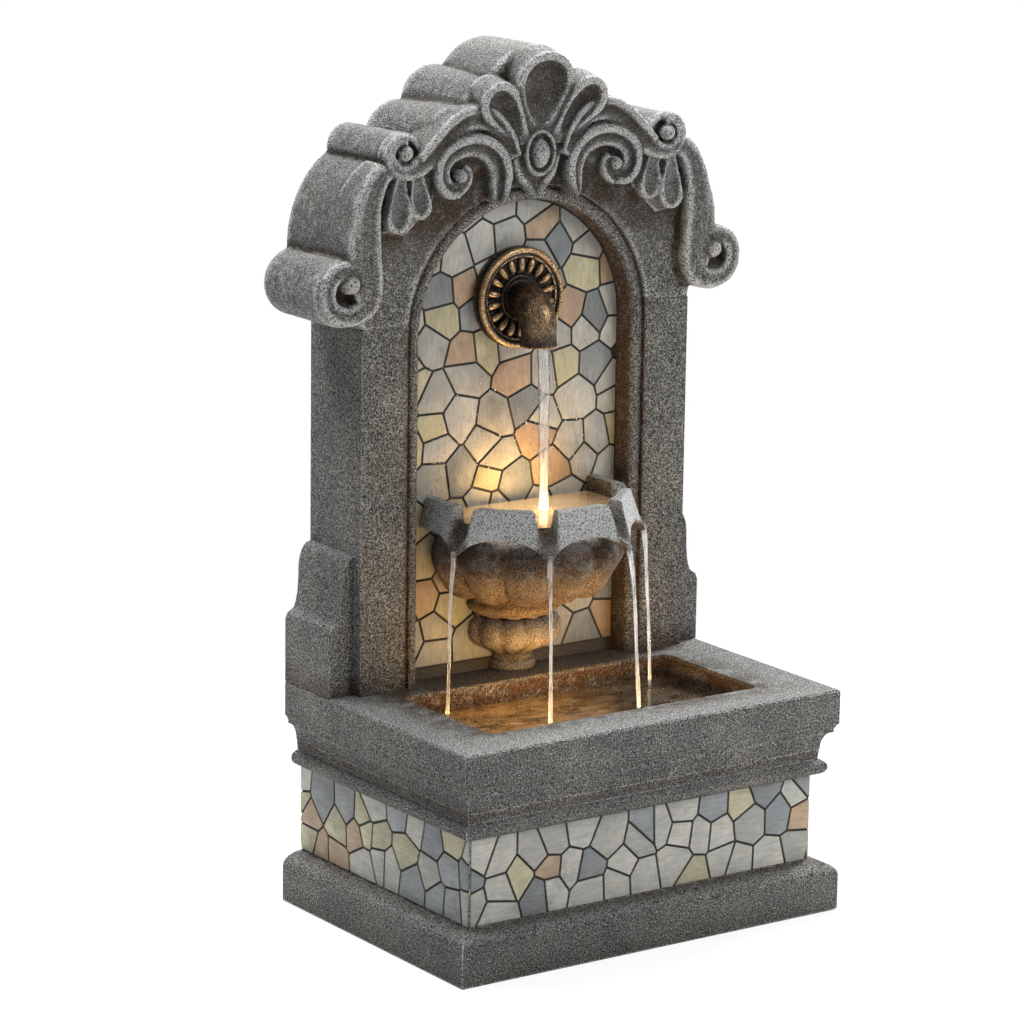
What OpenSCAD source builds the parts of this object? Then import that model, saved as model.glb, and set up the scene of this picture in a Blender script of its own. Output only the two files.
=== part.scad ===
// Wall fountain: a cast basin with a mosaic band, an upper body with an arched mosaic niche,
// a carved crest with rolled ends, a lobed spill bowl, a bronze spout, and a pump and lamps inside.
// The basin is a plinth, a rim and a tub under it. Panels of their own close the niche and the back.
// Millimetres. X to the right, Y to the back, Z up. Origin at the middle of the footprint, on the ground.

/* [Overall] */
// Height of the whole fountain
total_h = 800; // [760:5:960]
// Width of the plinth
plinth_w = 424; // [400:1:520]
// Depth of the plinth, front to back
plinth_d = 300; // [285:1:370]

/* [Basin] */
// Height of the basin up to the top of its rim
basin_h = 213; // [195:1:260]
// Height of the plinth's upright face
plinth_h = 35; // [25:1:40]
// How far the plinth stands out from the mosaic band
plinth_out = 21; // [15:1:26]
// Height of the sloped top of the plinth
weathering_h = 12; // [8:1:14]
// Height of the mosaic band
band_h = 84; // [70:1:100]
// How far the rim stands out from the mosaic band
rim_out = 18.5; // [14:0.5:22]
// Thickness of the rim slab
rim_t = 34; // [28:1:40]
// Width of the trough
trough_w = 300; // [260:1:320]
// Width of the rim in front of the trough
rim_front = 47; // [38:1:58]
// Width of the rim between the trough and the pillars
rim_rear = 20; // [12:1:30]
// Height of the trough floor above the ground
floor_z = 40; // [30:1:60]
// Wall thickness of the casting
wall = 8; // [6:0.5:9]
// Width of the pump well
well_w = 250; // [230:1:270]

/* [Upper body] */
// Width across the pillars
body_w = 365; // [350:1:390]
// Depth of the pillars
body_d = 86; // [80:1:92]
// Half width of the niche, and the radius of its arch
niche_r = 118.5; // [110:0.5:124]
// Width of the rounded moulding round the niche
moulding_w = 14.5; // [10:0.5:18]
// How far the niche panel lies behind the pillar faces
panel_set = 25; // [20:1:28]
// Thickness of the niche panel
panel_t = 10; // [8:1:12]
// Height of the arch's centre below the top of the crest
spring_drop = 262; // [255:1:275]
// Height of the shoulder brackets above the rim
bracket_h = 132; // [110:1:160]
// Height of the access opening in the back
door_h = 160; // [120:1:190]
// Width of the access opening in the back
door_w = 150; // [120:1:180]

/* [Crest] */
// Half width over the lower rolled ends
crest_r = 236; // [225:1:245]
// Radius of the lower rolled ends
low_roll_r = 31; // [26:1:34]
// Radius of the upper rolled ends
high_roll_r = 19.5; // [16:0.5:22]
// How far the rolled ends stand out in front of the pillars
roll_out = 8; // [4:1:14]
// How far the shell ornament stands out in front of the pillars
shell_out = 24; // [16:1:30]
// How far the scrolls stand out in front of the pillars
scroll_out = 13; // [8:1:16]

/* [Mosaic] */
// Thickness of the mosaic stones
stone_t = 1.5; // [1:0.1:2.5]
// Width of the grout lines
grout = 2.4; // [1.5:0.1:4]
// Mean size of the stones in the niche
niche_stone = 34; // [28:1:46]
// Mean size of the stones in the band
band_stone = 30; // [24:1:42]

/* [Bowl] */
// Height of the collar's top edge above the rim
bowl_rise = 173; // [165:1:205]
// Half width of the collar across its flats, at the top
collar_top = 97; // [92:1:104]
// Half width of the collar across its flats, at the lips
collar_low = 110; // [104:1:116]
// Height of the collar from lip to top edge
collar_h = 44; // [38:1:50]
// Depth of the bowl at its middle
bowl_depth = 48; // [44:1:64]
// How far the bowl's axis lies in front of the mosaic
bowl_axis_out = 17.5; // [10:0.5:25]
// Half width of the spill channels
channel_r = 8; // [6:0.5:10]

/* [Spout] */
// Height of the spout above the arch's centre
spout_rise = 27; // [10:1:40]
// Radius of the rosette
rosette_r = 48; // [42:1:54]
// Thickness of the rosette
rosette_t = 13.5; // [10:0.5:18]
// Number of petals in the rosette
petals = 18; // [12:1:22]
// Radius of the spout pipe
spout_r = 16; // [13:0.5:18]
// How far the outlet lies in front of the rosette's face
spout_reach = 32; // [26:1:40]
// Bore radius of the hose
hose_r = 6; // [5:0.5:7]
// Wall thickness of the hose
hose_t = 2; // [1.5:0.5:3]

/* [Pump and lamps] */
// Length of the pump's motor block
motor_l = 44; // [36:1:52]
// Width of the pump
pump_w = 40; // [36:1:40]
// Height of the pump's housing
pump_h = 48; // [44:1:52]
// Number of blades on the impeller
blades = 6; // [4:1:8]
// Radius of a lamp
lamp_r = 17; // [14:1:20]
// Height of the basin's lamp without its lens
lamp_h = 20; // [14:1:26]
// Height of the bowl's lamp without its lens
bowl_lamp_h = 24; // [14:1:26]
// Radius of the lamp and pump leads
lead_r = 2.3; // [1.5:0.1:3]

/* [Hidden] */
$fn = 48;

// Colours of the finishes
stone = "dimgray";
stones = "tan";
bronze = "saddlebrown";
plastic = "darkslategray";
clear_lens = "khaki";

// Small values used for clearances and for cuts that pass a face
fit = 0.3;
run_gap = 0.05;
over = 1;

// Planes of the footprint and of the upper body
y_back = plinth_d / 2;
y_front = -plinth_d / 2;
y_face = y_back - body_d;
y_panel = y_face + panel_set;
y_stones = y_panel - stone_t;
y_cavity = y_panel + panel_t;
y_cavity_end = y_back - wall;

// Heights of the basin's mouldings
band_z = plinth_h + weathering_h;
ledge_z = band_z + band_h;
ledge_t = 14;
neck_t = 10;
ledge_out = 12;
neck_out = 6;
rim_z = basin_h - rim_t;
neck_z = ledge_z + ledge_t;
cove_z = neck_z + neck_t;
cove_out = 15;
rim_edge = 1.6;

// Half widths and fronts of the band and the trough
band_r = plinth_w / 2 - plinth_out;
band_y = y_front + plinth_out;
rim_r = band_r + rim_out;
trough_y0 = band_y - rim_out + rim_front;
trough_y1 = y_face - rim_rear;
trough_corner = 9;
tub_r = trough_w / 2 + wall;
tub_top = rim_z - wall;
divider_t = 12;
well_y0 = trough_y1 + divider_t;
well_y1 = y_back - wall - 4;
mouth_y0 = y_cavity - 7;
shelf_t = 12;

// Niche, arch and crest
spring_z = total_h - spring_drop;
body_top = spring_z + 14;
groove_r = niche_r + moulding_w;
sill_z = basin_h + 12;
sill_gap = 2;
spout_z = spring_z + spout_rise;
cavity_r = niche_r + 6;
back_lap = 4;
upper_roll_x = 139;
upper_roll_z = 170;
jewel_out = shell_out - 2;

// Bowl and its lamp
bowl_y = y_stones - bowl_axis_out;
bowl_top = basin_h + bowl_rise;
lip_z = bowl_top - collar_h;
lip_r = collar_low / cos(22.5);
bowl_floor = bowl_top - bowl_depth;
bowl_wall = 10;
bowl_side_h = 36;
bowl_floor_r = 66;
bowl_lamp_y = bowl_y - 32;
bowl_bolt_x = 35;
bowl_bolt_z = bowl_top - 74;
bolt_r = 3;

// Pump and hose
hose_y = y_cavity + 17;
hose_out = hose_r + hose_t;
barb_r = hose_r - fit;
elbow_r = hose_r + 2;
elbow_bore = hose_r - 2;
pump_foot = 6;
pump_z = floor_z + pump_foot;
rotor_z = pump_z + pump_h / 2;
chamber_r = 15.5;
chamber_l = 12;
magnet_r = 8.5;
magnet_l = 30;
shaft_r = 1.2;
pump_x0 = -chamber_l / 2 - motor_l;
pump_x1 = chamber_l / 2;
plate_t = 3;
intake_l = 18;
outlet_top = pump_z + pump_h + 20;
barb_low = spout_z - 28;
tail_r = 8;
tail_bore = 5;
nut_t = 7;
washer_t = 1.5;
tail_end = y_cavity + washer_t + nut_t + 2;

// Basin lamp, leads and junction
basin_lamp_y = trough_y1 - 54;
lens_t = 3;
lead_bend = 12;
lead_y = hose_y;
junction_x0 = -98;
junction_x1 = -26;
junction_z0 = basin_h + 40;
junction_z1 = junction_z0 + 26;
bowl_lead_x = -40;
basin_lead_x = -82;
pump_lead_x = -64;
bowl_lead_z = bowl_floor + lead_r + fit;

// Rear door
door_z0 = basin_h + 30;
door_lap = 13;
door_t = 3.6;
rebate = 4;
grommet_x = -50;
grommet_z = door_z0 + 26;
grommet_hole = 7;
cord_hole = 4.2;

// Side profile of the basin, as points of how far out and how high
function basin_profile() = concat(
  [[plinth_out - 1.5, 0], [plinth_out, 1.5]],
  [for (a = [0:15:90]) [plinth_out * cos(a), plinth_h + weathering_h * sin(a)]],
  [[0, ledge_z]],
  [for (a = [-90:22.5:90]) [ledge_out - ledge_t / 2 + ledge_t / 2 * cos(a), ledge_z + ledge_t / 2 * (1 + sin(a))]],
  [for (a = [0:15:90]) [cove_out - (cove_out - neck_out) * cos(a), cove_z + (rim_z - 7 - cove_z) * sin(a)]],
  [[cove_out, rim_z - 4], [rim_out - rim_edge, rim_z], [rim_out, rim_z + rim_edge]],
  [[rim_out, basin_h - rim_edge], [rim_out - rim_edge, basin_h]]
);

// Keeps the part of a convex outline on the near side of a line
function clip(shape, normal, far) = [
  for (i = [0:len(shape) - 1])
    let (a = shape[i], b = shape[(i + 1) % len(shape)], da = a * normal - far, db = b * normal - far)
      each concat(da <= 0 ? [a] : [], da * db < 0 ? [a + (b - a) * da / (da - db)] : [])
];

// Cuts one stone back from each of its neighbours by half a grout line
function cell(p, others, shape, k = 0) =
  k == len(others) || len(shape) < 3 ? shape :
  let (gap = others[k] - p, u = gap / norm(gap))
    cell(p, others, clip(shape, u, (p + others[k]) / 2 * u - grout / 2), k + 1);

// Keeps a stone inside a convex border that runs anticlockwise
function inside(shape, border, k = 0) =
  k == len(border) || len(shape) < 3 ? shape :
  let (a = border[k], e = border[(k + 1) % len(border)] - a, n = [e[1], -e[0]] / norm(e))
    inside(clip(shape, n, a * n), border, k + 1);

// Middle points of the stones: rows of alternate offset, each point moved by chance
function stone_seeds(x0, x1, z0, z1, size, seed) =
  let (rows = max(2, round((z1 - z0) / (size * 0.92))), cols = max(2, round((x1 - x0) / size)))
  let (dx = (x1 - x0) / cols, dz = (z1 - z0) / rows)
  let (shift = rands(-0.4, 0.4, 2 * (rows + 1) * (cols + 2), seed))
    [for (r = [0:rows - 1], c = [-1:cols])
      let (k = 2 * (r * (cols + 2) + c + 1))
        [x0 + (c + 0.5 + (r % 2) * 0.5 - 0.25 + shift[k]) * dx, z0 + (r + 0.5 + shift[k + 1]) * dz]];

// All stones of one field, each as an outline
function stone_cells(seeds, size, border) = [
  for (p = seeds)
    let (near = [for (q = seeds) if (q != p && norm(q - p) < 2.8 * size) q])
    let (box = [for (c = [[-1, -1], [1, -1], [1, 1], [-1, 1]]) p + c * 1.6 * size])
    let (shape = inside(cell(p, near, box), border))
      if (len(shape) > 2 && outline_area(shape) > 40) shape
];
function outline_area(s) =
  let (twice = [for (i = [0:len(s) - 1]) let (a = s[i], b = s[(i + 1) % len(s)]) a[0] * b[1] - b[0] * a[1]])
    twice * [for (i = [1:len(s)]) 0.5];

// How far a point lies inside a stone: negative where it is outside
function depth_in(shape, p) = min([
  for (i = [0:len(shape) - 1])
    let (a = shape[i], e = shape[(i + 1) % len(shape)] - a) (e[0] * (p - a)[1] - e[1] * (p - a)[0]) / norm(e)
]);
function is_pierced(shape, holes) = len([for (h = holes) if (depth_in(shape, h) > -7) 1]) > 0;

// Band along an arc or a spiral, as an outline: its radius and width change at a steady rate
function spiral_band(r0, r1, a0, a1, w0, w1, steps = 12) =
  let (at = function(t, side) let (a = a0 + (a1 - a0) * t, r = r0 + (r1 - r0) * t + side * (w0 + (w1 - w0) * t) / 2)
    [r * cos(a), r * sin(a)])
    concat([for (i = [0:steps]) at(i / steps, 1)], [for (i = [steps:-1:0]) at(i / steps, -1)]);

// Extrudes an outline drawn in X and Z between two depths
module slab(y0, y1) translate([0, y1, 0]) rotate([90, 0, 0]) linear_extrude(y1 - y0) children();
// Extrudes an outline drawn in Y and Z between two widths
module bar(x0, x1) translate([x0, 0, 0]) rotate([90, 0, 90]) linear_extrude(x1 - x0) children();
// Cylinders along X and Y, and a block between two corners
module rod_x(x0, x1, r) translate([x0, 0, 0]) rotate([0, 90, 0]) cylinder(h = x1 - x0, r = r);
module rod_y(y0, y1, r) translate([0, y1, 0]) rotate([90, 0, 0]) cylinder(h = y1 - y0, r = r);
module block(a, b) translate(a) cube(b - a);
module both_sides() {
  children();
  mirror([1, 0, 0]) children();
}
// Rectangle with round corners
module round_rect(x0, y0, x1, y1, r) {
  translate([x0 + r, y0]) square([x1 - x0 - 2 * r, y1 - y0]);
  translate([x0, y0 + r]) square([x1 - x0, y1 - y0 - 2 * r]);
  for (x = [x0 + r, x1 - r], y = [y0 + r, y1 - r]) translate([x, y]) circle(r);
}
// Arched opening: a rectangle under half a disc
module arch(r, z0) {
  translate([-r, z0]) square([2 * r, spring_z - z0]);
  translate([0, spring_z]) circle(r, $fn = 96);
}

// Outside of the basin: the profile run along the front and along both sides, mitred at the corners
module basin_outside() {
  p = basin_profile();
  intersection() {
    bar(-plinth_w, plinth_w)
      polygon(concat([for (q = p) [band_y - q[0], q[1]]], [[y_back, basin_h], [y_back, 0]]));
    slab(y_front - over, y_back)
      polygon(concat([for (q = p) [band_r + q[0], q[1]]], [for (i = [len(p) - 1:-1:0]) [-band_r - p[i][0], p[i][1]]]));
  }
}

// Trough and pump well, cut through the rim and the tub alike
module basin_pools() {
  translate([0, 0, floor_z]) linear_extrude(basin_h)
    round_rect(-trough_w / 2, trough_y0, trough_w / 2, trough_y1, trough_corner);
  block([-well_w / 2, well_y0, floor_z], [well_w / 2, well_y1, basin_h + over]);
}
// Plinth, mosaic band and ledge: an open skirt up to the neck
module basin_plinth() color(stone) difference() {
  basin_outside();
  block([-plinth_w, y_front - over, cove_z], [plinth_w, y_back + over, basin_h + over]);
  block([-(plinth_w / 2 - wall), y_front + wall, -over], [plinth_w / 2 - wall, y_back - wall, plinth_h - wall]);
  block([-(band_r - wall), band_y + wall, -over], [band_r - wall, y_back - wall, basin_h]);
}
// Cove: a moulded ring, bonded on the neck of the plinth
module basin_cove() color(stone) difference() {
  basin_outside();
  block([-plinth_w, y_front - over, -over], [plinth_w, y_back + over, cove_z]);
  block([-plinth_w, y_front - over, tub_top], [plinth_w, y_back + over, basin_h + over]);
  block([-(band_r - wall), band_y + wall, -over], [band_r - wall, y_back - wall, basin_h]);
}
// Rim slab on the cove
module basin_rim() color(stone) difference() {
  basin_outside();
  block([-plinth_w, y_front - over, -over], [plinth_w, y_back + over, tub_top]);
  basin_pools();
  both_sides() for (y = bolt_ys()) translate([bolt_x(), y, 0]) cylinder(h = basin_h + over, r = bolt_r + fit);
}
// Shelf let into the rim, over the front of the pump well
module basin_shelf() color(stone)
  block([-well_w / 2, well_y0, basin_h - shelf_t], [well_w / 2, mouth_y0, basin_h]);
// Tub of the trough and the pump well, bonded under the rim
module basin_tub() color(stone) difference() {
  block([-tub_r, trough_y0 - wall, floor_z - wall], [tub_r, y_back - wall, tub_top]);
  basin_pools();
  // Slots that let the water through to the pump
  for (x = [basin_lead_x:slot_pitch:-basin_lead_x])
    block([x - slot_r, trough_y1 - over, floor_z + 2], [x + slot_r, well_y0 + over, floor_z + slot_h]);
}
slot_pitch = 20;
slot_r = 4;
slot_h = 30;
function bolt_x() = tub_r + 9;
function bolt_ys() = [y_face + 30, y_back - 22];

// Stones of the mosaic band, proud of its face
module band_stones(half, seed) {
  border = [[-half, band_z + 2], [half, band_z + 2], [half, ledge_z - 2], [-half, ledge_z - 2]];
  cells = stone_cells(stone_seeds(-half, half, band_z + 2, ledge_z - 2, band_stone, seed), band_stone, border);
  linear_extrude(stone_t) for (c = cells) polygon(c);
}
module band_mosaic_front() color(stones)
  translate([0, band_y, 0]) rotate([90, 0, 0]) band_stones(band_r - 1, 11);
side_mid = (band_y + y_back) / 2;
side_half = (y_back - band_y) / 2 - 1;
module band_mosaic_left() color(stones)
  translate([-band_r, side_mid, 0]) rotate([90, 0, -90]) band_stones(side_half, 23);
module band_mosaic_right() color(stones)
  translate([band_r, side_mid, 0]) rotate([90, 0, 90]) band_stones(side_half, 37);

// Section of the rounded moulding and its groove, cut from the pillar face
function moulding_section() = concat(
  [[niche_r - 2, y_face - over]],
  [[niche_r - 2, y_face + 8], [niche_r, y_face + 7]],
  [for (a = [75:-25:0]) [niche_r + 7 - 7 * sin(a), y_face + 7 - 7 * cos(a) + 0.6]],
  [[groove_r - 4, y_face + 1], [groove_r - 2.2, y_face + 4], [groove_r, y_face + 4]],
  [[groove_r, y_face - over]]
);
module moulding_cut() {
  both_sides() translate([0, 0, basin_h]) linear_extrude(spring_z - basin_h) polygon(moulding_section());
  translate([0, 0, spring_z]) rotate([90, 0, 0]) rotate_extrude(angle = 180, $fn = 96)
    polygon([for (q = moulding_section()) [q[0], -q[1]]]);
}

// Shoulder bracket beside a pillar, as an outline
function bracket_outline() =
  let (x0 = body_w / 2 - 4, x1 = rim_r, z = basin_h, h = bracket_h, s = x1 - body_w / 2)
    concat([[x0, z], [x1, z], [x1, z + h * 0.45], [x1 - s * 0.08, z + h * 0.49], [x1 - s * 0.26, z + h * 0.515]],
      [for (a = [0:18:90]) [x1 - s * 0.26 - s * 0.26 * sin(a), z + h * 0.515 + h * 0.26 * (1 - cos(a))]],
      [for (a = [0:15:90]) [x1 - s * 0.52 - s * 0.44 * (1 - cos(a)), z + h * 0.80 + h * 0.185 * sin(a)]],
      [[x0, z + h]]);

module upper_body() color(stone) difference() {
  union() {
    slab(y_face, y_back) translate([-body_w / 2, basin_h]) square([body_w, body_top - basin_h]);
    slab(y_face, y_back) translate([0, spring_z]) circle(groove_r, $fn = 96);
    both_sides() slab(y_face + 10, y_back) polygon(bracket_outline());
  }
  slab(y_face - over, y_panel + over) arch(niche_r, basin_h - over);
  moulding_cut();
  // Hollow behind the niche panel, the seat of the back panel, and a hollow in each pillar
  slab(y_panel, y_back - over) arch(cavity_r, basin_h - over);
  slab(y_cavity_end, y_back + over) arch(cavity_r + back_lap, basin_h - over);
  both_sides() block([groove_r + 2, y_face + 12, basin_h + 12], [body_w / 2 - wall, y_cavity_end, body_top - 10]);
  both_sides() for (y = bolt_ys()) translate([bolt_x(), y, basin_h - over]) cylinder(h = 11, r = bolt_r + fit);
}
// Panel of the niche, bonded behind the lip of the opening, with a low sill under the stones
module niche_panel() color(stone) difference() {
  union() {
    slab(y_panel, y_cavity) arch(cavity_r - fit, basin_h);
    slab(y_stones, y_panel + over) translate([-niche_r + fit, basin_h])
      square([2 * (niche_r - fit), sill_z - sill_gap - basin_h]);
  }
  // Passages for the spout, the bowl's bolts and its lamp lead
  translate([0, 0, spout_z]) rod_y(y_panel - over, y_cavity + over, tail_r + fit);
  for (s = [-1, 1]) translate([s * bowl_bolt_x, 0, bowl_bolt_z]) rod_y(y_panel - over, y_cavity + over, bolt_r + fit);
  translate([bowl_lead_x, 0, bowl_lead_z]) rod_y(y_panel - over, y_cavity + over, lead_r + fit);
}
// Panel that closes the back, with the access opening, its rebate and its screw holes
module back_panel() color(stone) difference() {
  slab(y_cavity_end, y_back) arch(cavity_r + back_lap - fit, basin_h);
  slab(y_cavity_end - over, y_back + over) translate([-door_w / 2, door_z0]) square([door_w, door_h]);
  slab(y_back - rebate, y_back + over)
    round_rect(-door_w / 2 - door_lap, door_z0 - door_lap, door_w / 2 + door_lap, door_z0 + door_h + door_lap, 4);
  for (p = door_screw_places()) translate([p[0], 0, p[1]]) rod_y(y_back - rebate - 3.5, y_back, 1.6);
}
module niche_mosaic() color(stones) {
  r = niche_r - 1.5;
  border = concat([[-r, sill_z], [r, sill_z]], [for (a = [0:9:180]) [r * cos(a), spring_z + r * sin(a)]]);
  cells = stone_cells(stone_seeds(-r, r, sill_z, spring_z + r, niche_stone, 5), niche_stone, border);
  holes = [[0, spout_z], [-bowl_bolt_x, bowl_bolt_z], [bowl_bolt_x, bowl_bolt_z], [bowl_lead_x, bowl_lead_z]];
  slab(y_stones, y_panel) for (c = cells) if (!is_pierced(c, holes)) polygon(c);
}

module joining_bolts() color("silver") both_sides() for (y = bolt_ys()) translate([bolt_x(), y, 0]) {
  translate([0, 0, rim_z - wall]) cylinder(h = basin_h + 9 - rim_z + wall, r = bolt_r);
  translate([0, 0, rim_z - wall - 4]) cylinder(h = 4, r = 6, $fn = 6);
}

// Roll that runs from the front of the crest to the back, its places given at both ends
module roll(front, back, r) hull() {
  translate([front[0], 0, front[1]]) rod_y(y_face - roll_out, y_face - roll_out + 1, r, $fn = 36);
  translate([back[0], 0, back[1]]) rod_y(y_back - 1, y_back, r, $fn = 36);
}
// Places in the crest are given from the arch's centre
module crest_mass() translate([0, 0, spring_z]) {
  roll_x = crest_r - low_roll_r;
  slab(y_face, y_back) polygon([[-body_w / 2, 14], [body_w / 2, 14], [body_w / 2 + 4, 50], [168, 112], [150, 150],
    [96, 190], [40, 225], [-40, 225], [-96, 190], [-150, 150], [-168, 112], [-body_w / 2 - 4, 50]]);
  roll([0, spring_drop - 54], [0, spring_drop - 56], 54);
  both_sides() {
    roll([46, 202], [57, 206], 33);
    roll([78, 177], [95, 175], 34);
    roll([upper_roll_x, upper_roll_z], [upper_roll_x + 10, upper_roll_z], high_roll_r);
    roll([roll_x, 51], [roll_x, 51], low_roll_r);
    intersection() {
      roll([116, 84], [133, 90], 72);
      slab(y_face - over, y_back) translate([60, 14]) square([160, 150]);
    }
  }
}
// Leaf or lobe: a drop that runs from a narrow end to a full one, flattened towards the face
module drop(from, to, r0, r1, rise) translate([0, y_face, 0]) scale([1, rise / r1, 1]) hull() {
  translate([from[0], 0, from[1]]) sphere(r0, $fn = 8);
  translate([to[0], 0, to[1]]) sphere(r1, $fn = 16);
}
// Hollowed lobe of the shell ornament
module shell_lobe(from, to, r0, r1, rise) difference() {
  drop(from, to, r0, r1, rise);
  translate([0, -rise * 0.72, 0]) drop(from + (to - from) * 0.18, to, r0 * 0.55, r1 * 0.74, rise * 0.55);
}
// Raised band with a step on each side, given like a spiral band
band_slope = 3.4;
module band_run(at, rise, r0, r1, a0, a1, w0, w1, steps = 12) translate([at[0], y_face + over, at[1]]) rotate([90, 0, 0]) {
  linear_extrude(rise + over - band_slope) polygon(spiral_band(r0, r1, a0, a1, w0, w1, steps));
  linear_extrude(rise + over) polygon(spiral_band(r0, r1, a0, a1, w0 * 0.6, w1 * 0.6, steps));
}
module eye(at, rise, r) translate([at[0], y_face + over, at[1]]) rotate([90, 0, 0]) {
  cylinder(h = rise + over - r / 2, r = r, $fn = 16);
  translate([0, 0, rise + over - r / 2]) cylinder(h = r / 2, r1 = r, r2 = r / 2, $fn = 16);
}
module crest_carving() translate([0, 0, spring_z]) {
  shell_lobe([0, 188], [0, 230], 9, 28, shell_out);
  both_sides() {
    shell_lobe([12, 190], [45, 214], 6, 17, shell_out - 5);
    shell_lobe([20, 182], [74, 190], 6, 15, shell_out - 9);
    drop([112, 152], [126, 120], 5, 11, shell_out - 10);
    drop([134, 150], [152, 112], 5, 13, shell_out - 10);
    // Scroll over the arch with its eye, and the arm that sweeps from the middle over it
    band_run([84, 145], scroll_out + 3, 7, 20.6, 190, 415, 8, 15);
    band_run([70, 125], scroll_out + 2.3, 45, 45, 53, 190, 15.5, 12, 9);
    eye([84, 145], scroll_out + 4, 6);
    band_run([69, 146], scroll_out + 0.8, 52, 50, 168, 20, 12, 19, 10);
    // Shoulder band that ends in the coil on the lower roll, and the coil on the upper roll
    band_run([97, 62], scroll_out - 2.3, 72, 95, -4, 60, 23.5, 18, 7);
    band_run([crest_r - low_roll_r, 51], scroll_out - 1.5, 36, 8, 166, 560, 23, 9, 15);
    eye([crest_r - low_roll_r, 51], scroll_out, 6);
    band_run([upper_roll_x, upper_roll_z], scroll_out, 22, 6, 184, 520, 18, 7);
    eye([upper_roll_x, upper_roll_z], scroll_out + 1, 4.5);
  }
  // Oval jewel in its ring
  translate([0, y_face, 164]) scale([1, 1, 1.4]) rotate([90, 0, 0]) {
    cylinder(h = jewel_out - 4, r = 14, $fn = 24);
    translate([0, 0, jewel_out - 4]) {
      rotate_extrude($fn = 24) translate([11, 0]) circle(3.4, $fn = 8);
      scale([1, 1, 0.8]) sphere(8, $fn = 14);
    }
  }
}
module crest() color(stone) difference() {
  union() {
    crest_mass();
    crest_carving();
  }
  slab(y_face - shell_out - over, y_back + over) translate([0, spring_z]) circle(groove_r + fit, $fn = 96);
  slab(y_face + 12, y_back - 10) intersection() {
    translate([0, spring_z]) circle(groove_r + 30, $fn = 64);
    translate([-200, body_top + 12]) square([400, 260]);
  }
  // Flat back, and a flat underside on the pillars
  block([-300, y_back, 0], [300, y_back + 60, total_h + 60]);
  block([-body_w / 2, -200, 0], [body_w / 2, y_back + over, body_top]);
}

// Gadroon: one lobe of the bowl's underside
module gadroon() hull() {
  translate([70, 0, bowl_top - 54]) sphere(27, $fn = 18);
  translate([62, 0, bowl_top - 73]) sphere(24, $fn = 16);
  translate([52, 0, bowl_top - 83]) sphere(14, $fn = 14);
}
// Smaller lobe of the cup below
module cup_lobe() hull() {
  translate([33, 0, bowl_top - 134]) sphere(16, $fn = 14);
  translate([19, 0, bowl_top - 150]) sphere(8, $fn = 8);
}
// Arch under one panel of the collar, cut outwards from the body
module collar_arch() rotate([90, 0, 90]) linear_extrude(200)
  polygon(concat([for (x = [-44:5.5:44]) [x, lip_z - over + 18 * (1 - pow(abs(x) / 44, 3))]], [[44, lip_z - 9], [-44, lip_z - 9]]));
// Spill channel: a round bottom under flared sides, sloping down to the lip
module spill_channel() translate([lip_r + 2, 0, lip_z + 6 + channel_r]) rotate([0, 31, 0]) translate([-58, 0, 0])
  rotate([90, 0, 90]) linear_extrude(62) {
    circle(channel_r, $fn = 20);
    polygon([[-channel_r, 0], [channel_r, 0], [channel_r + 7, 40], [-channel_r - 7, 40]]);
  }
module collar() difference() {
  translate([0, 0, lip_z]) rotate(22.5)
    cylinder(h = collar_h, r1 = lip_r, r2 = collar_top / cos(22.5), $fn = 8);
  for (k = [0:7]) rotate(k * 45) translate([72, 0, 0]) collar_arch();
}
// The bowl's hollow, run past its floor by under where a casting has no floor
module bowl_inside(under = 0) {
  side_z = bowl_top - bowl_side_h;
  if (under > 0)
    translate([0, 0, bowl_floor - under]) cylinder(h = under + 0.1, r = bowl_floor_r, $fn = 48);
  translate([0, 0, side_z]) cylinder(h = 60, r = collar_top - bowl_wall, $fn = 48);
  translate([0, 0, bowl_floor])
    cylinder(h = side_z + 0.1 - bowl_floor, r1 = bowl_floor_r, r2 = collar_top - bowl_wall, $fn = 48);
}
module bowl_shape(under = 0) difference() {
  translate([0, bowl_y, 0]) difference() {
    union() {
      collar();
      translate([0, 0, bowl_top - 66]) cylinder(h = 46, r1 = 80, r2 = 93, $fn = 48);
      for (k = [6:12]) rotate(k * 30) gadroon();
      translate([0, 0, bowl_top - 102]) cylinder(h = 48, r1 = 48, r2 = 66, $fn = 32);
      // Collar, lobed cup and foot, half round on the wall
      translate([0, bowl_axis_out, 0]) {
        translate([0, 0, bowl_top - 107]) rotate_extrude($fn = 36) translate([43, 0]) circle(7.5, $fn = 10);
        translate([0, 0, bowl_top - 118]) cylinder(h = 18, r = 42);
        for (k = [6:12]) rotate(k * 30) cup_lobe();
        translate([0, 0, bowl_top - 154]) cylinder(h = 40, r = 26);
        translate([0, 0, basin_h]) cylinder(h = 24, r = 21);
        translate([0, 0, basin_h]) cylinder(h = 7, r = 24);
      }
    }
    bowl_inside(under);
    for (a = [-67.5, -22.5, 22.5, 67.5]) rotate(a - 90) spill_channel();
  }
  block([-200, y_stones, 0], [200, y_stones + 200, total_h]);
  for (s = [-1, 1]) translate([s * bowl_bolt_x, 0, bowl_bolt_z]) rod_y(y_stones - 16, y_stones + over, bolt_r + fit);
}
// Body and foot of the bowl, flat on top, and its lobed rim bonded on that
module bowl() color(stone) intersection() {
  bowl_shape();
  block([-bowl_reach, bowl_y - bowl_reach, 0], [bowl_reach, y_stones + over, bowl_floor]);
}
module bowl_rim() color(stone) intersection() {
  bowl_shape(over);
  block([-bowl_reach, bowl_y - bowl_reach, bowl_floor], [bowl_reach, y_stones + over, total_h]);
}
bowl_reach = lip_r + 40;

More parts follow.
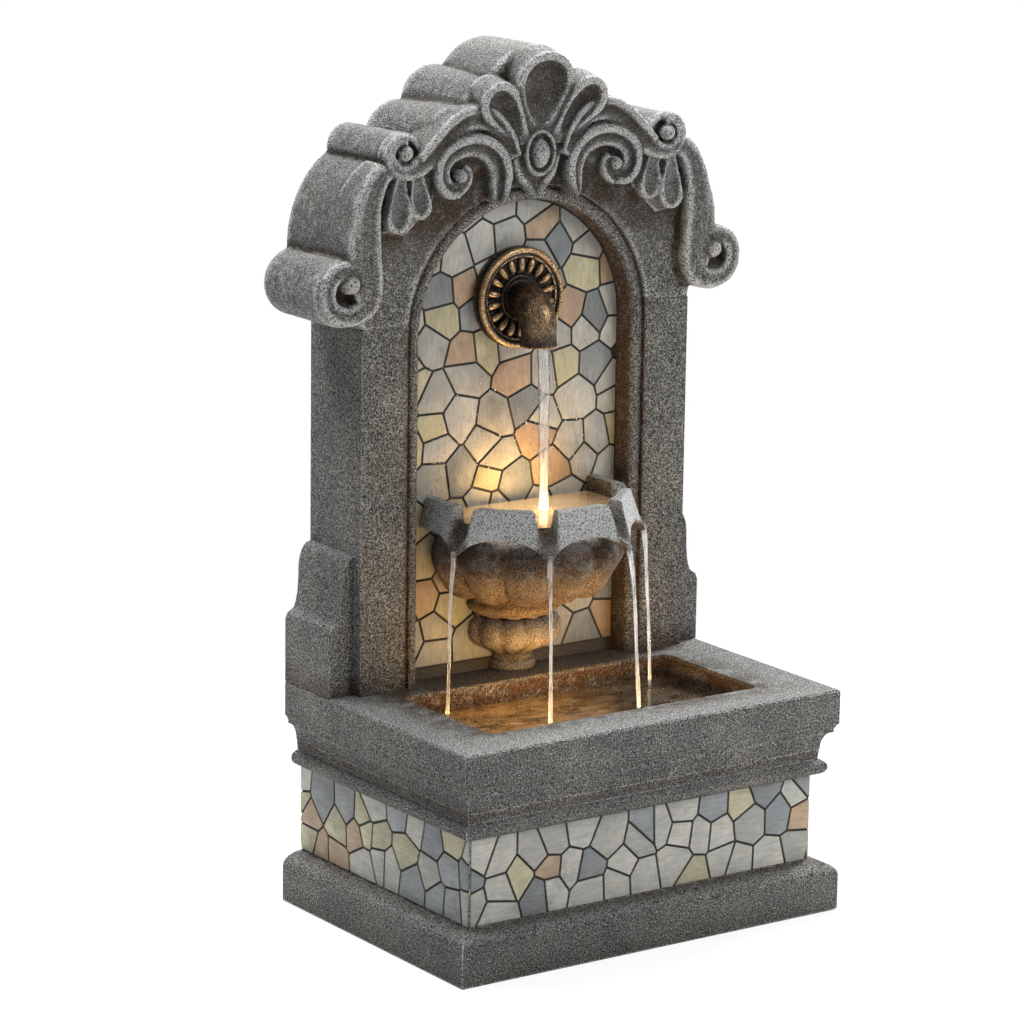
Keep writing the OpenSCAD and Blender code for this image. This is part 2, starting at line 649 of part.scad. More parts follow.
module bowl_bolts() color("silver") for (s = [-1, 1]) translate([s * bowl_bolt_x, 0, bowl_bolt_z]) {
  rod_y(y_stones - 15, y_cavity + 2, bolt_r);
  rod_y(y_cavity + 1.5, y_cavity + 6, 5.5, $fn = 6);
}
module bowl_bolt_washers() color("dimgray") for (s = [-1, 1]) translate([s * bowl_bolt_x, 0, bowl_bolt_z])
  difference() {
    rod_y(y_cavity, y_cavity + 1.5, 9);
    rod_y(y_cavity - over, y_cavity + 2.5, bolt_r + fit);
  }

// Places on the spout are given from the rosette's middle
module petal() hull() {
  translate([19, 0, rosette_t - 5]) sphere(2.2, $fn = 6);
  translate([32, 0, rosette_t - 4.5]) sphere(4.4, $fn = 8);
}
module at_spout() translate([0, y_stones, spout_z]) rotate([90, 0, 0]) children();
module spout_rosette() color(bronze) at_spout() difference() {
  union() {
    cylinder(h = rosette_t - 5, r = rosette_r - 1, $fn = 48);
    translate([0, 0, rosette_t - 6]) rotate_extrude($fn = 48) translate([rosette_r - 4, 0]) circle(4, $fn = 8);
    translate([0, 0, rosette_t - 4]) rotate_extrude($fn = 42) translate([rosette_r - 9.5, 0]) circle(2.2, $fn = 6);
    for (k = [0:petals - 1]) rotate(k * 360 / petals) petal();
    cylinder(h = rosette_t - 1, r = spout_r + 2.5);
  }
  translate([0, 0, -over]) cylinder(h = rosette_t + 2, r = tail_r + fit);
}
// Elbow: a quarter bend from the rosette down to a slightly belled outlet
spout_bend = spout_reach - 4;
bend_start = rosette_t + 4;
module elbow_run(r, start, end) {
  translate([0, 0, start]) cylinder(h = bend_start - start, r = r);
  translate([0, -spout_bend, bend_start]) rotate([90, 0, 90])
    rotate_extrude(angle = 90) translate([spout_bend, 0]) circle(r);
  translate([0, -spout_bend, bend_start + spout_bend]) rotate([90, 0, 0]) cylinder(h = end, r = r);
}
module spout_elbow() color(bronze) at_spout() difference() {
  tail = y_stones - tail_end;
  union() {
    elbow_run(spout_r, rosette_t - 0.9, 12);
    translate([0, -spout_bend - 8, bend_start + spout_bend]) rotate([90, 0, 0]) cylinder(h = 7, r = spout_r + 2.5);
    translate([0, 0, tail]) cylinder(h = rosette_t - 0.9 - tail, r = tail_r);
  }
  elbow_run(tail_bore, tail - over, 16);
  translate([0, -spout_bend - 5, bend_start + spout_bend]) rotate([90, 0, 0]) cylinder(h = 22, r = spout_r - 3);
}
module tail_ring(y0, y1, r, sides) translate([0, 0, spout_z]) difference() {
  rod_y(y0, y1, r, $fn = sides);
  rod_y(y0 - over, y1 + over, tail_r + run_gap);
}
module spout_washer() color("black") tail_ring(y_cavity, y_cavity + washer_t, 17, 48);
module spout_nut() color(plastic) tail_ring(y_cavity + washer_t, y_cavity + washer_t + nut_t, 15, 6);
module hose_elbow() color(plastic) translate([0, 0, spout_z]) difference() {
  union() {
    rod_y(tail_end, hose_y, elbow_r);
    translate([0, hose_y, 0]) sphere(elbow_r);
    translate([0, hose_y, -elbow_drop]) cylinder(h = elbow_drop, r = elbow_r);
    translate([0, hose_y, barb_low - spout_z]) cylinder(h = spout_z - barb_low, r = barb_r);
  }
  block([-elbow_r - over, tail_end - elbow_r, -elbow_r - over], [elbow_r + over, tail_end, elbow_r + over]);
  rod_y(tail_end - over, hose_y, elbow_bore);
  translate([0, hose_y, barb_low - spout_z - over]) cylinder(h = spout_z - barb_low + over, r = elbow_bore);
}
elbow_drop = 14;
hose_z0 = pump_z + pump_h + 4;
hose_z1 = spout_z - elbow_drop - fit;
module hose() color("darkgray") translate([0, hose_y, hose_z0]) difference() {
  cylinder(h = hose_z1 - hose_z0, r = hose_out);
  translate([0, 0, -over]) cylinder(h = hose_z1 - hose_z0 + 2 * over, r = hose_r);
}
module hose_clips() color("silver") for (z = [hose_z0 + 4, hose_z1 - 12]) translate([0, hose_y, z]) difference() {
  union() {
    cylinder(h = 8, r = hose_out + 1.5);
    block([-4, hose_out, 0], [4, hose_out + 6, 8]);
  }
  translate([0, 0, -over]) cylinder(h = 10, r = hose_out + run_gap);
}

// Pump: motor block, rotor chamber and outlet in one moulding
module at_rotor() translate([0, hose_y, rotor_z]) children();
module pump_housing() color(plastic) at_rotor() difference() {
  w = pump_w / 2;
  h = pump_h / 2;
  union() {
    bar(pump_x0, pump_x1) round_rect(-w, -h, w, h, 5);
    cylinder(h = outlet_top - rotor_z, r = barb_r);
    for (x = [pump_x0 + 8:7:-chamber_l]) bar(x, x + 2.5) round_rect(-w - 1.2, -h, w + 1.2, h + 1.2, 5);
  }
  rod_x(-chamber_l / 2, pump_x1 + over, chamber_r);
  rod_x(-chamber_l / 2 - magnet_l - 3, 0, magnet_r + 0.6);
  rod_x(-chamber_l / 2 - magnet_l - 7, 0, shaft_r);
  cylinder(h = outlet_top, r = 3.8);
}
module pump_feet() color("black") for (x = [pump_x0 + 10, pump_x1 - 8], s = [-1, 1])
  translate([x, hose_y + s * 12, floor_z]) rotate_extrude()
    polygon([[0, 0], [7, 0], [7, 1.2], [3.4, 3.6], [3.4, pump_foot], [0, pump_foot]]);
module pump_shaft() color("white") at_rotor() rod_x(-chamber_l / 2 - magnet_l - 7, pump_x1 + plate_t, shaft_r - 0.01);
module pump_impeller() color("white") at_rotor() difference() {
  union() {
    rod_x(-chamber_l / 2 - magnet_l, -chamber_l / 2 + 1, magnet_r);
    rod_x(-chamber_l / 2 + 0.6, -chamber_l / 2 + 3, chamber_r - 3);
    rod_x(-chamber_l / 2, pump_x1 - 1, 3.5);
    for (k = [0:blades - 1]) rotate([k * 360 / blades, 0, 0])
      block([-chamber_l / 2 + 2, -0.8, 2.5], [pump_x1 - 1.5, 0.8, chamber_r - 1.6]);
  }
  rod_x(-chamber_l / 2 - magnet_l - over, pump_x1 + over, shaft_r + run_gap);
}
module pump_volute_cover() color(plastic) at_rotor() difference() {
  w = pump_w / 2;
  h = pump_h / 2;
  bar(pump_x1, pump_x1 + plate_t) round_rect(-w + 2, -h + 2, w - 2, h - 2, 4);
  difference() {
    rod_x(pump_x1 - over, pump_x1 + plate_t + over, 8);
    rod_x(pump_x1 - 2, pump_x1 + plate_t + 2, 3.2);
    for (k = [0:2]) rotate([k * 120, 0, 0]) block([pump_x1 - 2, -1, 0], [pump_x1 + plate_t + 2, 1, 10]);
  }
  rod_x(pump_x1 - over, pump_x1 + plate_t + over, shaft_r);
}
intake_x = pump_x1 + plate_t + fit;
module pump_intake_cover() color(plastic) at_rotor() difference() {
  w = pump_w / 2;
  h = pump_h / 2;
  x1 = intake_x + intake_l;
  union() {
    bar(intake_x, x1) round_rect(-w, -h, w, h, 5);
    for (s = [0, 1]) mirror([0, s, 0]) {
      block([x1 - 1, slide_w / 2 + fit, -h + 4], [x1 + slide_t + 3 * fit + 1, slide_w / 2 + fit + 2, h - 4]);
      block([x1 + slide_t + 2 * fit, slide_w / 2 - 1.5, -h + 4], [x1 + slide_t + 2 * fit + 1.2, slide_w / 2 + 2, h - 4]);
    }
  }
  bar(intake_x - over, x1 - 2.5) round_rect(-w + 2.5, -h + 2.5, w - 2.5, h - 2.5, 3);
  for (k = [-2:2]) block([x1 - 4, k * 5 - 1.5, -h + 6], [x1 + over, k * 5 + 1.5, 0]);
}
// Plate that slides up and down over the intake slots to set the flow
slide_x = intake_x + intake_l + fit;
slide_w = 28;
slide_t = 2;
module pump_flow_slide() color("dimgray") at_rotor() {
  block([slide_x, -slide_w / 2, 0.5], [slide_x + slide_t, slide_w / 2, 19]);
  block([slide_x, -5, 13], [slide_x + 5, 5, 16]);
}

// Lamps: a sealed puck with a clear lens on top
module lamp_body(h) difference() {
  cylinder(h = h, r = lamp_r);
  translate([0, 0, h - 2]) cylinder(h = 3, r = lamp_r - 2);
}
module lamp_lens() rotate_extrude() intersection() {
  translate([0, -lamp_r * 2 + lens_t]) circle(lamp_r * 2, $fn = 96);
  square([lamp_r - 2 - fit, lens_t + 1]);
}
module bowl_lamp() color("dimgray") translate([0, bowl_lamp_y, bowl_floor]) lamp_body(bowl_lamp_h);
module bowl_lamp_lens() color(clear_lens) translate([0, bowl_lamp_y, bowl_floor + bowl_lamp_h - 2]) lamp_lens();
module basin_lamp() color("dimgray") translate([0, basin_lamp_y, floor_z]) lamp_body(lamp_h);
module basin_lamp_lens() color(clear_lens) translate([0, basin_lamp_y, floor_z + lamp_h - 2]) lamp_lens();

// Junction box on the back of the panel, with a gland on the door side
module lead_junction() color("black") {
  block([junction_x0, y_cavity, junction_z0], [junction_x1, lead_y + 7, junction_z1]);
  translate([grommet_x, 0, (junction_z0 + junction_z1) / 2]) rod_y(lead_y + 6, lead_y + 13, 5);
}
// Quarter bend of a lead, from along the first direction to along the second
module lead_bend_piece() rotate_extrude(angle = 90, $fn = 32) translate([lead_bend, 0]) circle(lead_r, $fn = 20);
module pump_lead() color("black") {
  z1 = rotor_z + lead_bend;
  translate([0, lead_y, rotor_z]) rod_x(pump_lead_x + lead_bend, pump_x0, lead_r, $fn = 20);
  translate([pump_lead_x + lead_bend, lead_y, z1]) rotate([90, 0, 0]) rotate(180) lead_bend_piece();
  translate([pump_lead_x, lead_y, z1]) cylinder(h = junction_z0 - z1, r = lead_r, $fn = 20);
}
module bowl_lamp_lead() color("black") {
  y0 = bowl_lamp_y + lead_bend;
  y1 = lead_y - lead_bend;
  z1 = bowl_lead_z - lead_bend;
  translate([0, bowl_lamp_y, bowl_lead_z]) rod_x(bowl_lead_x + lead_bend, -lamp_r, lead_r, $fn = 20);
  translate([bowl_lead_x + lead_bend, y0, bowl_lead_z]) rotate(180) lead_bend_piece();
  translate([bowl_lead_x, 0, bowl_lead_z]) rod_y(y0, y1, lead_r, $fn = 20);
  translate([bowl_lead_x, y1, z1]) rotate([90, 0, 90]) lead_bend_piece();
  translate([bowl_lead_x, lead_y, junction_z1]) cylinder(h = z1 - junction_z1, r = lead_r, $fn = 20);
}
module basin_lamp_lead() color("black") {
  z = floor_z + 6;
  y0 = basin_lamp_y + lead_bend;
  y1 = lead_y - lead_bend;
  translate([0, basin_lamp_y, z]) rod_x(basin_lead_x + lead_bend, -lamp_r, lead_r, $fn = 20);
  translate([basin_lead_x + lead_bend, y0, z]) rotate(180) lead_bend_piece();
  translate([basin_lead_x, 0, z]) rod_y(y0, y1, lead_r, $fn = 20);
  translate([basin_lead_x, y1, z + lead_bend]) rotate([90, 0, 90]) rotate(-90) lead_bend_piece();
  translate([basin_lead_x, lead_y, z + lead_bend]) cylinder(h = junction_z0 - z - lead_bend, r = lead_r, $fn = 20);
}

// Rear door: a plate in the rebate with a lip into the opening
function door_screw_places() = [
  for (s = [-1, 1], z = [door_z0 - door_lap / 2, door_z0 + door_h + door_lap / 2]) [s * (door_w / 2 - 12), z]
];
module rear_door() color(plastic) difference() {
  lap = door_lap - fit;
  y0 = y_back - rebate;
  union() {
    slab(y0, y0 + door_t)
      round_rect(-door_w / 2 - lap, door_z0 - lap, door_w / 2 + lap, door_z0 + door_h + lap, 4);
    difference() {
      slab(y0 - 4, y0 + 1) translate([-door_w / 2 + fit, door_z0 + fit]) square([door_w - 2 * fit, door_h - 2 * fit]);
      slab(y0 - 5, y0) translate([-door_w / 2 + 3, door_z0 + 3]) square([door_w - 6, door_h - 6]);
    }
  }
  for (p = door_screw_places()) translate([p[0], 0, p[1]]) rod_y(y0 - over, y_back, 1.9);
  translate([grommet_x, 0, grommet_z]) rod_y(y0 - over, y_back, grommet_hole);
}
module door_screws() color("silver") for (p = door_screw_places()) translate([p[0], 0, p[1]]) {
  rod_y(y_back - rebate - 3.2, y_back - rebate + door_t + 0.1, 1.5);
  rod_y(y_back - rebate + door_t, y_back - rebate + door_t + 0.35, 3.2);
}
module cable_grommet() color("black") translate([grommet_x, 0, grommet_z]) difference() {
  y0 = y_back - rebate;
  union() {
    rod_y(y0 - 3, y0 + door_t, grommet_hole - 0.05);
    rod_y(y0 - 3, y0, grommet_hole + 2);
  }
  rod_y(y0 - 4, y_back, cord_hole);
}

basin_plinth();
basin_cove();
basin_rim();
basin_shelf();
basin_tub();
band_mosaic_front();
band_mosaic_left();
band_mosaic_right();
upper_body();
niche_panel();
back_panel();
crest();
niche_mosaic();
joining_bolts();
bowl();
bowl_rim();
bowl_bolts();
bowl_bolt_washers();
spout_rosette();
spout_elbow();
spout_washer();
spout_nut();
hose_elbow();
hose();
hose_clips();
pump_housing();
pump_feet();
pump_shaft();
pump_impeller();
pump_volute_cover();
pump_intake_cover();
pump_flow_slide();
bowl_lamp();
bowl_lamp_lens();
basin_lamp();
basin_lamp_lens();
lead_junction();
pump_lead();
bowl_lamp_lead();
basin_lamp_lead();
rear_door();
door_screws();
cable_grommet();
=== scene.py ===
"""Looks of a wall fountain: cast stone, mosaic, bronze spout, lamps and running water, round its CAD model."""

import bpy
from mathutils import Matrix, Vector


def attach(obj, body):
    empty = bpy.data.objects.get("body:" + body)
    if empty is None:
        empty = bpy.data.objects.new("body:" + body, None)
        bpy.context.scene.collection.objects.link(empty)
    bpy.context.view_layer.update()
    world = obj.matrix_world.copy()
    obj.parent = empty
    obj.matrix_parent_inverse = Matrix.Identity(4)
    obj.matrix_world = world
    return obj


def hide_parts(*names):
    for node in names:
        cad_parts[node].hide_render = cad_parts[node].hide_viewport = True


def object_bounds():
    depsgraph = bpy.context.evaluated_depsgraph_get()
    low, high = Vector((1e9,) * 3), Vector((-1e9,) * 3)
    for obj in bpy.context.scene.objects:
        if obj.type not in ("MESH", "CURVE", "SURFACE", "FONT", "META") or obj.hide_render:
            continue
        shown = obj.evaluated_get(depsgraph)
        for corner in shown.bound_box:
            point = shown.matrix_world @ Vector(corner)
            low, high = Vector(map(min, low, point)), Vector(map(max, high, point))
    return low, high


bl_info = {
    "name": "Wall fountain looks",
    "version": (1, 0, 0),
    "blender": (4, 5, 0),
    "location": "3D View > Sidebar > Fountain",
    "description": "Builds the visible pieces and finishes of a wall fountain around its CAD frame",
    "category": "Object",
}

import math
import random

import bmesh
import bpy
import numpy as np
from mathutils import Matrix, Vector

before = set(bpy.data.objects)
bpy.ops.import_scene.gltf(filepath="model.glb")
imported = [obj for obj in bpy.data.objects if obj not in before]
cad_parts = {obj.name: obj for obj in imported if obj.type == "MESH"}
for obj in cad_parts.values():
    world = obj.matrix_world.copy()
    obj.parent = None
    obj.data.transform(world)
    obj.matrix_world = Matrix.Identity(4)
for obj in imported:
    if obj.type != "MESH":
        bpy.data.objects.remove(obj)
CAD_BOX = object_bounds()

MM = 0.001
BODY = "fountain"

# Sizes of the CAD model that the looks follow, in millimetres:
# depths of the upper body's face, of the niche's stones and of the flat back
FACE_Y, STONES_Y, BACK_Y = 64.0, 87.5, 150.0
# height of the arch's centre, and outer radius of the groove round it
ARCH_Z, GROOVE_R = 538.0, 133.0
# the mosaic band: depth of its front face, half its width, and its height
BAND_Y, BAND_R = -129.0, 191.0
BAND_LOW, BAND_HIGH = 47.0, 131.0
# the trough's corners, the bowl's middle in x and y, and the height of the spout's axis
TROUGH = ((-150.0, -100.5), (150.0, 44.0))
BOWL_AXIS = (0.0, 70.0)
SPOUT_Z = 565.0

# Grain of the bowl against that of the crest
BOWL_VOXEL = 0.85

# Starts of the random draws: tones of the stones, places of the drops
STONES_SEED, DROPS_SEED = 4, 11


# ---------------------------------------------------------------- sizes and colours
def colour_of(name, about, value):
    """A colour that can be set in the panel."""
    return bpy.props.FloatVectorProperty(
        name=name, description=about, subtype="COLOR", size=3, min=0, max=1, default=value
    )


def length(name, about, value):
    """A length that can be set in the panel."""
    return bpy.props.FloatProperty(name=name, description=about, default=value, unit="LENGTH", min=0)


def power(name, about, value):
    """A lamp's power, in watts, that can be set in the panel."""
    return bpy.props.FloatProperty(name=name, description=about, default=value, unit="POWER", min=0)


class FountainStone(bpy.types.PropertyGroup):
    """Colours and roundness of the castings."""

    body: colour_of("Stone", "Middle grey of the cast stone", (0.118, 0.117, 0.107))
    pits: colour_of("Pits", "Colour in the pits of the stone", (0.014, 0.014, 0.013))
    grains: colour_of("Grains", "Colour of the pale grains", (0.32, 0.315, 0.295))
    # The wash colour also paints the shade in the stone's hollows.
    wash_and_shade: colour_of("Wash", "Brown wash in the hollows", (0.120, 0.058, 0.024))
    # The dry brush colour also paints the light from above on faces that look up.
    brushed: colour_of("Dry brush", "Pale colour brushed over the edges", (0.47, 0.48, 0.47))
    edge: length("Edge", "Rounding of the cast edges", 3.0 * MM)
    voxel: length("Carving detail", "Grain of the carved pieces", 1.5 * MM)


class FountainMosaic(bpy.types.PropertyGroup):
    """Colours of the mosaic."""

    grey: colour_of("Grey stones", "Pale grey stones", (0.221, 0.216, 0.192))
    cream: colour_of("Cream stones", "Pale yellow stones", (0.245, 0.226, 0.138))
    tan: colour_of("Tan stones", "Orange-brown stones", (0.202, 0.139, 0.086))
    slate: colour_of("Slate stones", "Blue-grey stones", (0.119, 0.128, 0.131))
    grout: colour_of("Grout", "Dark grout between the stones", (0.022, 0.02, 0.018))


class FountainWater(bpy.types.PropertyGroup):
    """Levels, streams and lamps."""

    basin_level: length("Basin water", "Height of the water in the basin", 191.5 * MM)
    bowl_level: length("Bowl water", "Height of the water in the bowl", 371.0 * MM)
    stream: length("Stream", "Radius of a stream where it leaves the lip", 3.2 * MM)
    glow: colour_of("Lamp light", "Warm light of the lamps", (1.0, 0.62, 0.24))
    bowl_glow: power("Bowl lamp", "Light of the lamp in the bowl", 0.31)
    basin_glow: power("Basin lamp", "Light of the lamp in the basin", 2.2)


# ---------------------------------------------------------------- modelling helpers
def only(*objects):
    """Selects just these objects."""
    if bpy.context.object and bpy.context.object.mode != "OBJECT":
        bpy.ops.object.mode_set(mode="OBJECT")
    bpy.ops.object.select_all(action="DESELECT")
    for o in objects:
        o.select_set(True)
    bpy.context.view_layer.objects.active = objects[0]
    return objects[0]


def settle(obj, name):
    """Puts the object's place into its mesh and names it."""
    only(obj)
    bpy.ops.object.transform_apply(location=True, rotation=True, scale=True)
    obj.name = name
    obj.data.name = name
    return obj


def modify(obj, kind, **settings):
    """Adds a modifier, sets it and applies it."""
    only(obj)
    m = obj.modifiers.new(kind.title(), kind)
    for key, value in settings.items():
        setattr(m, key, value)
    bpy.ops.object.modifier_apply(modifier=m.name)
    return obj


def join(objects, name):
    """Makes one object of several."""
    only(*objects)
    if len(objects) > 1:
        bpy.ops.object.join()
    return settle(bpy.context.object, name)


def edit(obj, *steps):
    """Runs edit-mode operators on everything selected in the mesh."""
    only(obj)
    bpy.ops.object.mode_set(mode="EDIT")
    bpy.ops.mesh.select_mode(type="VERT")
    bpy.ops.mesh.select_all(action="SELECT")
    for step in steps:
        step()
    bpy.ops.object.mode_set(mode="OBJECT")
    return obj


def outwards(obj):
    """Turns all faces of a closed mesh outwards."""
    return edit(obj, lambda: bpy.ops.mesh.normals_make_consistent(inside=False))


def cad_copy(node, name):
    """A merged copy of a CAD node, without its materials and stored shading."""
    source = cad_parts[node]
    obj = bpy.data.objects.new(name, source.data.copy())
    bpy.context.scene.collection.objects.link(obj)
    obj.data.materials.clear()
    for key in [k for k in obj.data.attributes.keys() if k.startswith("_")]:
        obj.data.attributes.remove(obj.data.attributes[key])
    clear_shading = bpy.ops.mesh.customdata_custom_splitnormals_clear
    return edit(obj, clear_shading, lambda: bpy.ops.mesh.remove_doubles(threshold=2e-6))


def flatten_faces(obj):
    """Makes whole faces of the small ones that lie in one plane."""
    return edit(obj, lambda: bpy.ops.mesh.dissolve_limited(angle_limit=math.radians(0.6)))


def combine(obj, other, operation="DIFFERENCE"):
    """Takes another form out of a piece, or adds it, and removes the other."""
    modify(obj, "BOOLEAN", operation=operation, object=other, solver="EXACT")
    bpy.data.objects.remove(other)
    return obj


def refined(obj, voxel, passes):
    """Fuses a piece into one skin of even grain, and softens it."""
    modify(obj, "REMESH", mode="VOXEL", voxel_size=voxel, adaptivity=0.0)
    return modify(obj, "SMOOTH", factor=0.5, iterations=passes)


def paint_node(node, material):
    """Gives a CAD node that is kept its finish."""
    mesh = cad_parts[node].data
    mesh.materials.clear()
    mesh.materials.append(material)


def give(obj, slot, *materials, nodes=(), body=BODY):
    """Materials and body of a finished piece; hides the CAD nodes it replaces. slot is not used."""
    obj.data.materials.clear()
    for m in materials:
        obj.data.materials.append(m)
    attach(obj, body)
    if nodes:
        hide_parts(*nodes)
    return obj


def smooth(obj, angle=180):
    """Shades a piece smooth, but not over edges sharper than the angle."""
    only(obj)
    bpy.ops.object.shade_smooth_by_angle(angle=math.radians(angle))
    return obj


def set_attribute(obj, name, values):
    """Writes one number for each vertex, for the paint to read."""
    a = obj.data.attributes.get(name) or obj.data.attributes.new(name, "FLOAT", "POINT")
    a.data.foreach_set("value", np.asarray(values, np.float32))


def places(obj):
    """The places of a mesh's vertices."""
    co = np.zeros(len(obj.data.vertices) * 3, np.float32)
    obj.data.vertices.foreach_get("co", co)
    return co.reshape(-1, 3).astype(float)


def place_points(obj, co):
    """Moves a mesh's vertices to new places."""
    obj.data.vertices.foreach_set("co", co.astype(np.float32).ravel())
    obj.data.update()


def edge_ends(obj):
    """The numbers of the two vertices of each edge."""
    edges = np.zeros(len(obj.data.edges) * 2, np.int32)
    obj.data.edges.foreach_get("vertices", edges)
    return edges.reshape(-1, 2).T


def mark_relief(obj, near=6, far=30, span=1.0 * MM):
    """Writes how hollow (above 0) or how proud (below 0) the surface is at each point."""
    co = places(obj)
    a, b = edge_ends(obj)
    count = len(co)
    share = np.maximum(np.bincount(a, minlength=count) + np.bincount(b, minlength=count), 1)
    normals = np.zeros(count * 3, np.float32)
    obj.data.vertices.foreach_get("normal", normals)
    normals = normals.reshape(-1, 3)
    found, moved = [], co.copy()
    for turn in range(1, far + 1):
        step = np.empty_like(moved)
        for k in range(3):
            step[:, k] = np.bincount(a, moved[b, k], count) + np.bincount(b, moved[a, k], count)
        moved = moved * 0.4 + step / share[:, None] * 0.6
        if turn in (near, far):
            found.append(((moved - co) * normals).sum(1) / span)
    value = np.clip(found[0] * 1.6, -1, 1) * 0.5 + np.clip(found[1] * 0.6, -1, 1) * 0.5
    set_attribute(obj, "relief", value)


def thin_out(obj, most=190_000):
    """Reduces a mesh that has more triangles than it needs."""
    faces = sum(len(p.vertices) - 2 for p in obj.data.polygons)
    if faces > most:
        modify(obj, "DECIMATE", ratio=most / faces)
    return obj


def roughen(obj, strength, size):
    """Moves the surface in and out by a cloud pattern, as hand-made casting is."""
    texture = bpy.data.textures.new("Unevenness", "CLOUDS")
    texture.noise_scale = size
    texture.noise_depth = 2
    modify(obj, "DISPLACE", texture=texture, strength=strength, mid_level=0.5, texture_coords="LOCAL")
    bpy.data.textures.remove(texture)
    return obj


# ---------------------------------------------------------------- material helpers
def rgba(value):
    """A colour as the nodes store it. A number gives a grey, a node's output stays as it is."""
    if isinstance(value, bpy.types.NodeSocket):
        return value
    parts = value[:3] if hasattr(value, "__len__") else [value] * 3
    return (*parts, 1.0)


def shade(colour, share):
    """A colour made darker or lighter."""
    return [min(1.0, c * share) for c in colour]


class Nodes:
    """A node tree under construction."""

    def __init__(self, tree):
        self.tree = tree
        tree.nodes.clear()

    def node(self, kind, values=None, **settings):
        """Adds a shader node. Its inputs take values or the outputs of other nodes."""
        n = self.tree.nodes.new("ShaderNode" + kind)
        for key, value in settings.items():
            setattr(n, key, value)
        for key, value in (values or {}).items():
            if isinstance(value, bpy.types.NodeSocket):
                self.tree.links.new(value, n.inputs[key])
            else:
                n.inputs[key].default_value = value
        return n

    def shader(self, kind, values):
        return self.node(kind, values).outputs[0]

    def math(self, operation, a, b=0.5):
        return self.node("Math", {0: a, 1: b}, operation=operation).outputs[0]

    def times(self, first, *others):
        for other in others:
            first = self.math("MULTIPLY", first, other)
        return first

    def most(self, first, *others):
        for other in others:
            first = self.math("MAXIMUM", first, other)
        return first

    def less(self, a, b):
        return self.math("SUBTRACT", a, b)

    def size(self, a):
        return self.math("ABSOLUTE", a)

    def seen(self):
        """One for what the camera sees, directly or through something clear."""
        rays = self.node("LightPath").outputs
        return self.most(rays["Is Camera Ray"], rays["Is Transmission Ray"])


class Paint(Nodes):
    """A node material under construction. Places are in metres."""

    def __init__(self, name):
        self.material = bpy.data.materials.new(name)
        self.material.use_nodes = True
        super().__init__(self.material.node_tree)
        self.place = self.node("TexCoord").outputs["Object"]
        self.x, self.y, self.z = self.node("SeparateXYZ", {"Vector": self.place}).outputs

    def noise(self, scale, detail=3.0, rough=0.6, stretch=None, at=None, twist=0.0):
        at = at or self.place
        if stretch:
            at = self.node("Mapping", {"Vector": at, "Scale": stretch}).outputs["Vector"]
        values = {"Vector": at, "Scale": scale, "Detail": detail, "Roughness": rough, "Distortion": twist}
        return self.node("TexNoise", values).outputs["Fac"]

    def span(self, value, low, high, to_low=0.0, to_high=1.0):
        """Maps a value from one range to another, without overshoot."""
        keys = {"Value": value, "From Min": low, "From Max": high, "To Min": to_low, "To Max": to_high}
        return self.node("MapRange", keys).outputs["Result"]

    def between(self, value, low, high, soft):
        """One inside the range, nothing outside it."""
        return self.times(self.span(value, low - soft, low + soft), self.span(value, high + soft, high - soft))

    def distance(self, a, b=0.0, c=0.0):
        """Length of the vector with these parts."""
        vector = self.node("CombineXYZ", {0: a, 1: b, 2: c}).outputs[0]
        return self.node("VectorMath", {0: vector}, operation="LENGTH").outputs["Value"]

    def looks(self, axis):
        """How far a face looks along an axis: one along it, minus one against it."""
        normal = self.node("NewGeometry").outputs["Normal"]
        return self.node("SeparateXYZ", {0: normal}).outputs[axis]

    def mix(self, share, a, b, blend="MIX"):
        values = {0: share, 6: rgba(a), 7: rgba(b)}
        return self.node("Mix", values, data_type="RGBA", blend_type=blend).outputs[2]

    def tinted(self, share, colour, tint):
        """The colour, multiplied by a tint where the share says so."""
        return self.mix(share, colour, self.mix(1.0, colour, tint, "MULTIPLY"))

    def ramp(self, value, stops, interpolation="LINEAR"):
        n = self.node("ValToRGB", {"Fac": value})
        ramp = n.color_ramp
        ramp.interpolation = interpolation
        while len(ramp.elements) < len(stops):
            ramp.elements.new(0.5)
        for element, (position, colour) in zip(ramp.elements, stops):
            element.position = position
            element.color = rgba(colour)
        return n.outputs["Color"]

    def attribute(self, name):
        return self.node("Attribute", attribute_name=name).outputs["Fac"]

    def bump(self, height, strength, distance):
        values = {"Height": height, "Strength": strength, "Distance": distance}
        return self.node("Bump", values).outputs["Normal"]

    def surface(self, **sockets):
        """Ends the material in one Principled shader."""
        values = {k.replace("_", " "): rgba(v) if hasattr(v, "__len__") else v for k, v in sockets.items()}
        return self.end(self.shader("BsdfPrincipled", values))

    def end(self, shader):
        """Gives the material its surface."""
        self.node("OutputMaterial", {"Surface": shader})
        return self.material


def upward(p):
    """One on faces that look up, nothing on upright ones: where the painted light from above lies."""
    return p.span(p.looks(2), 0.45, 0.95)


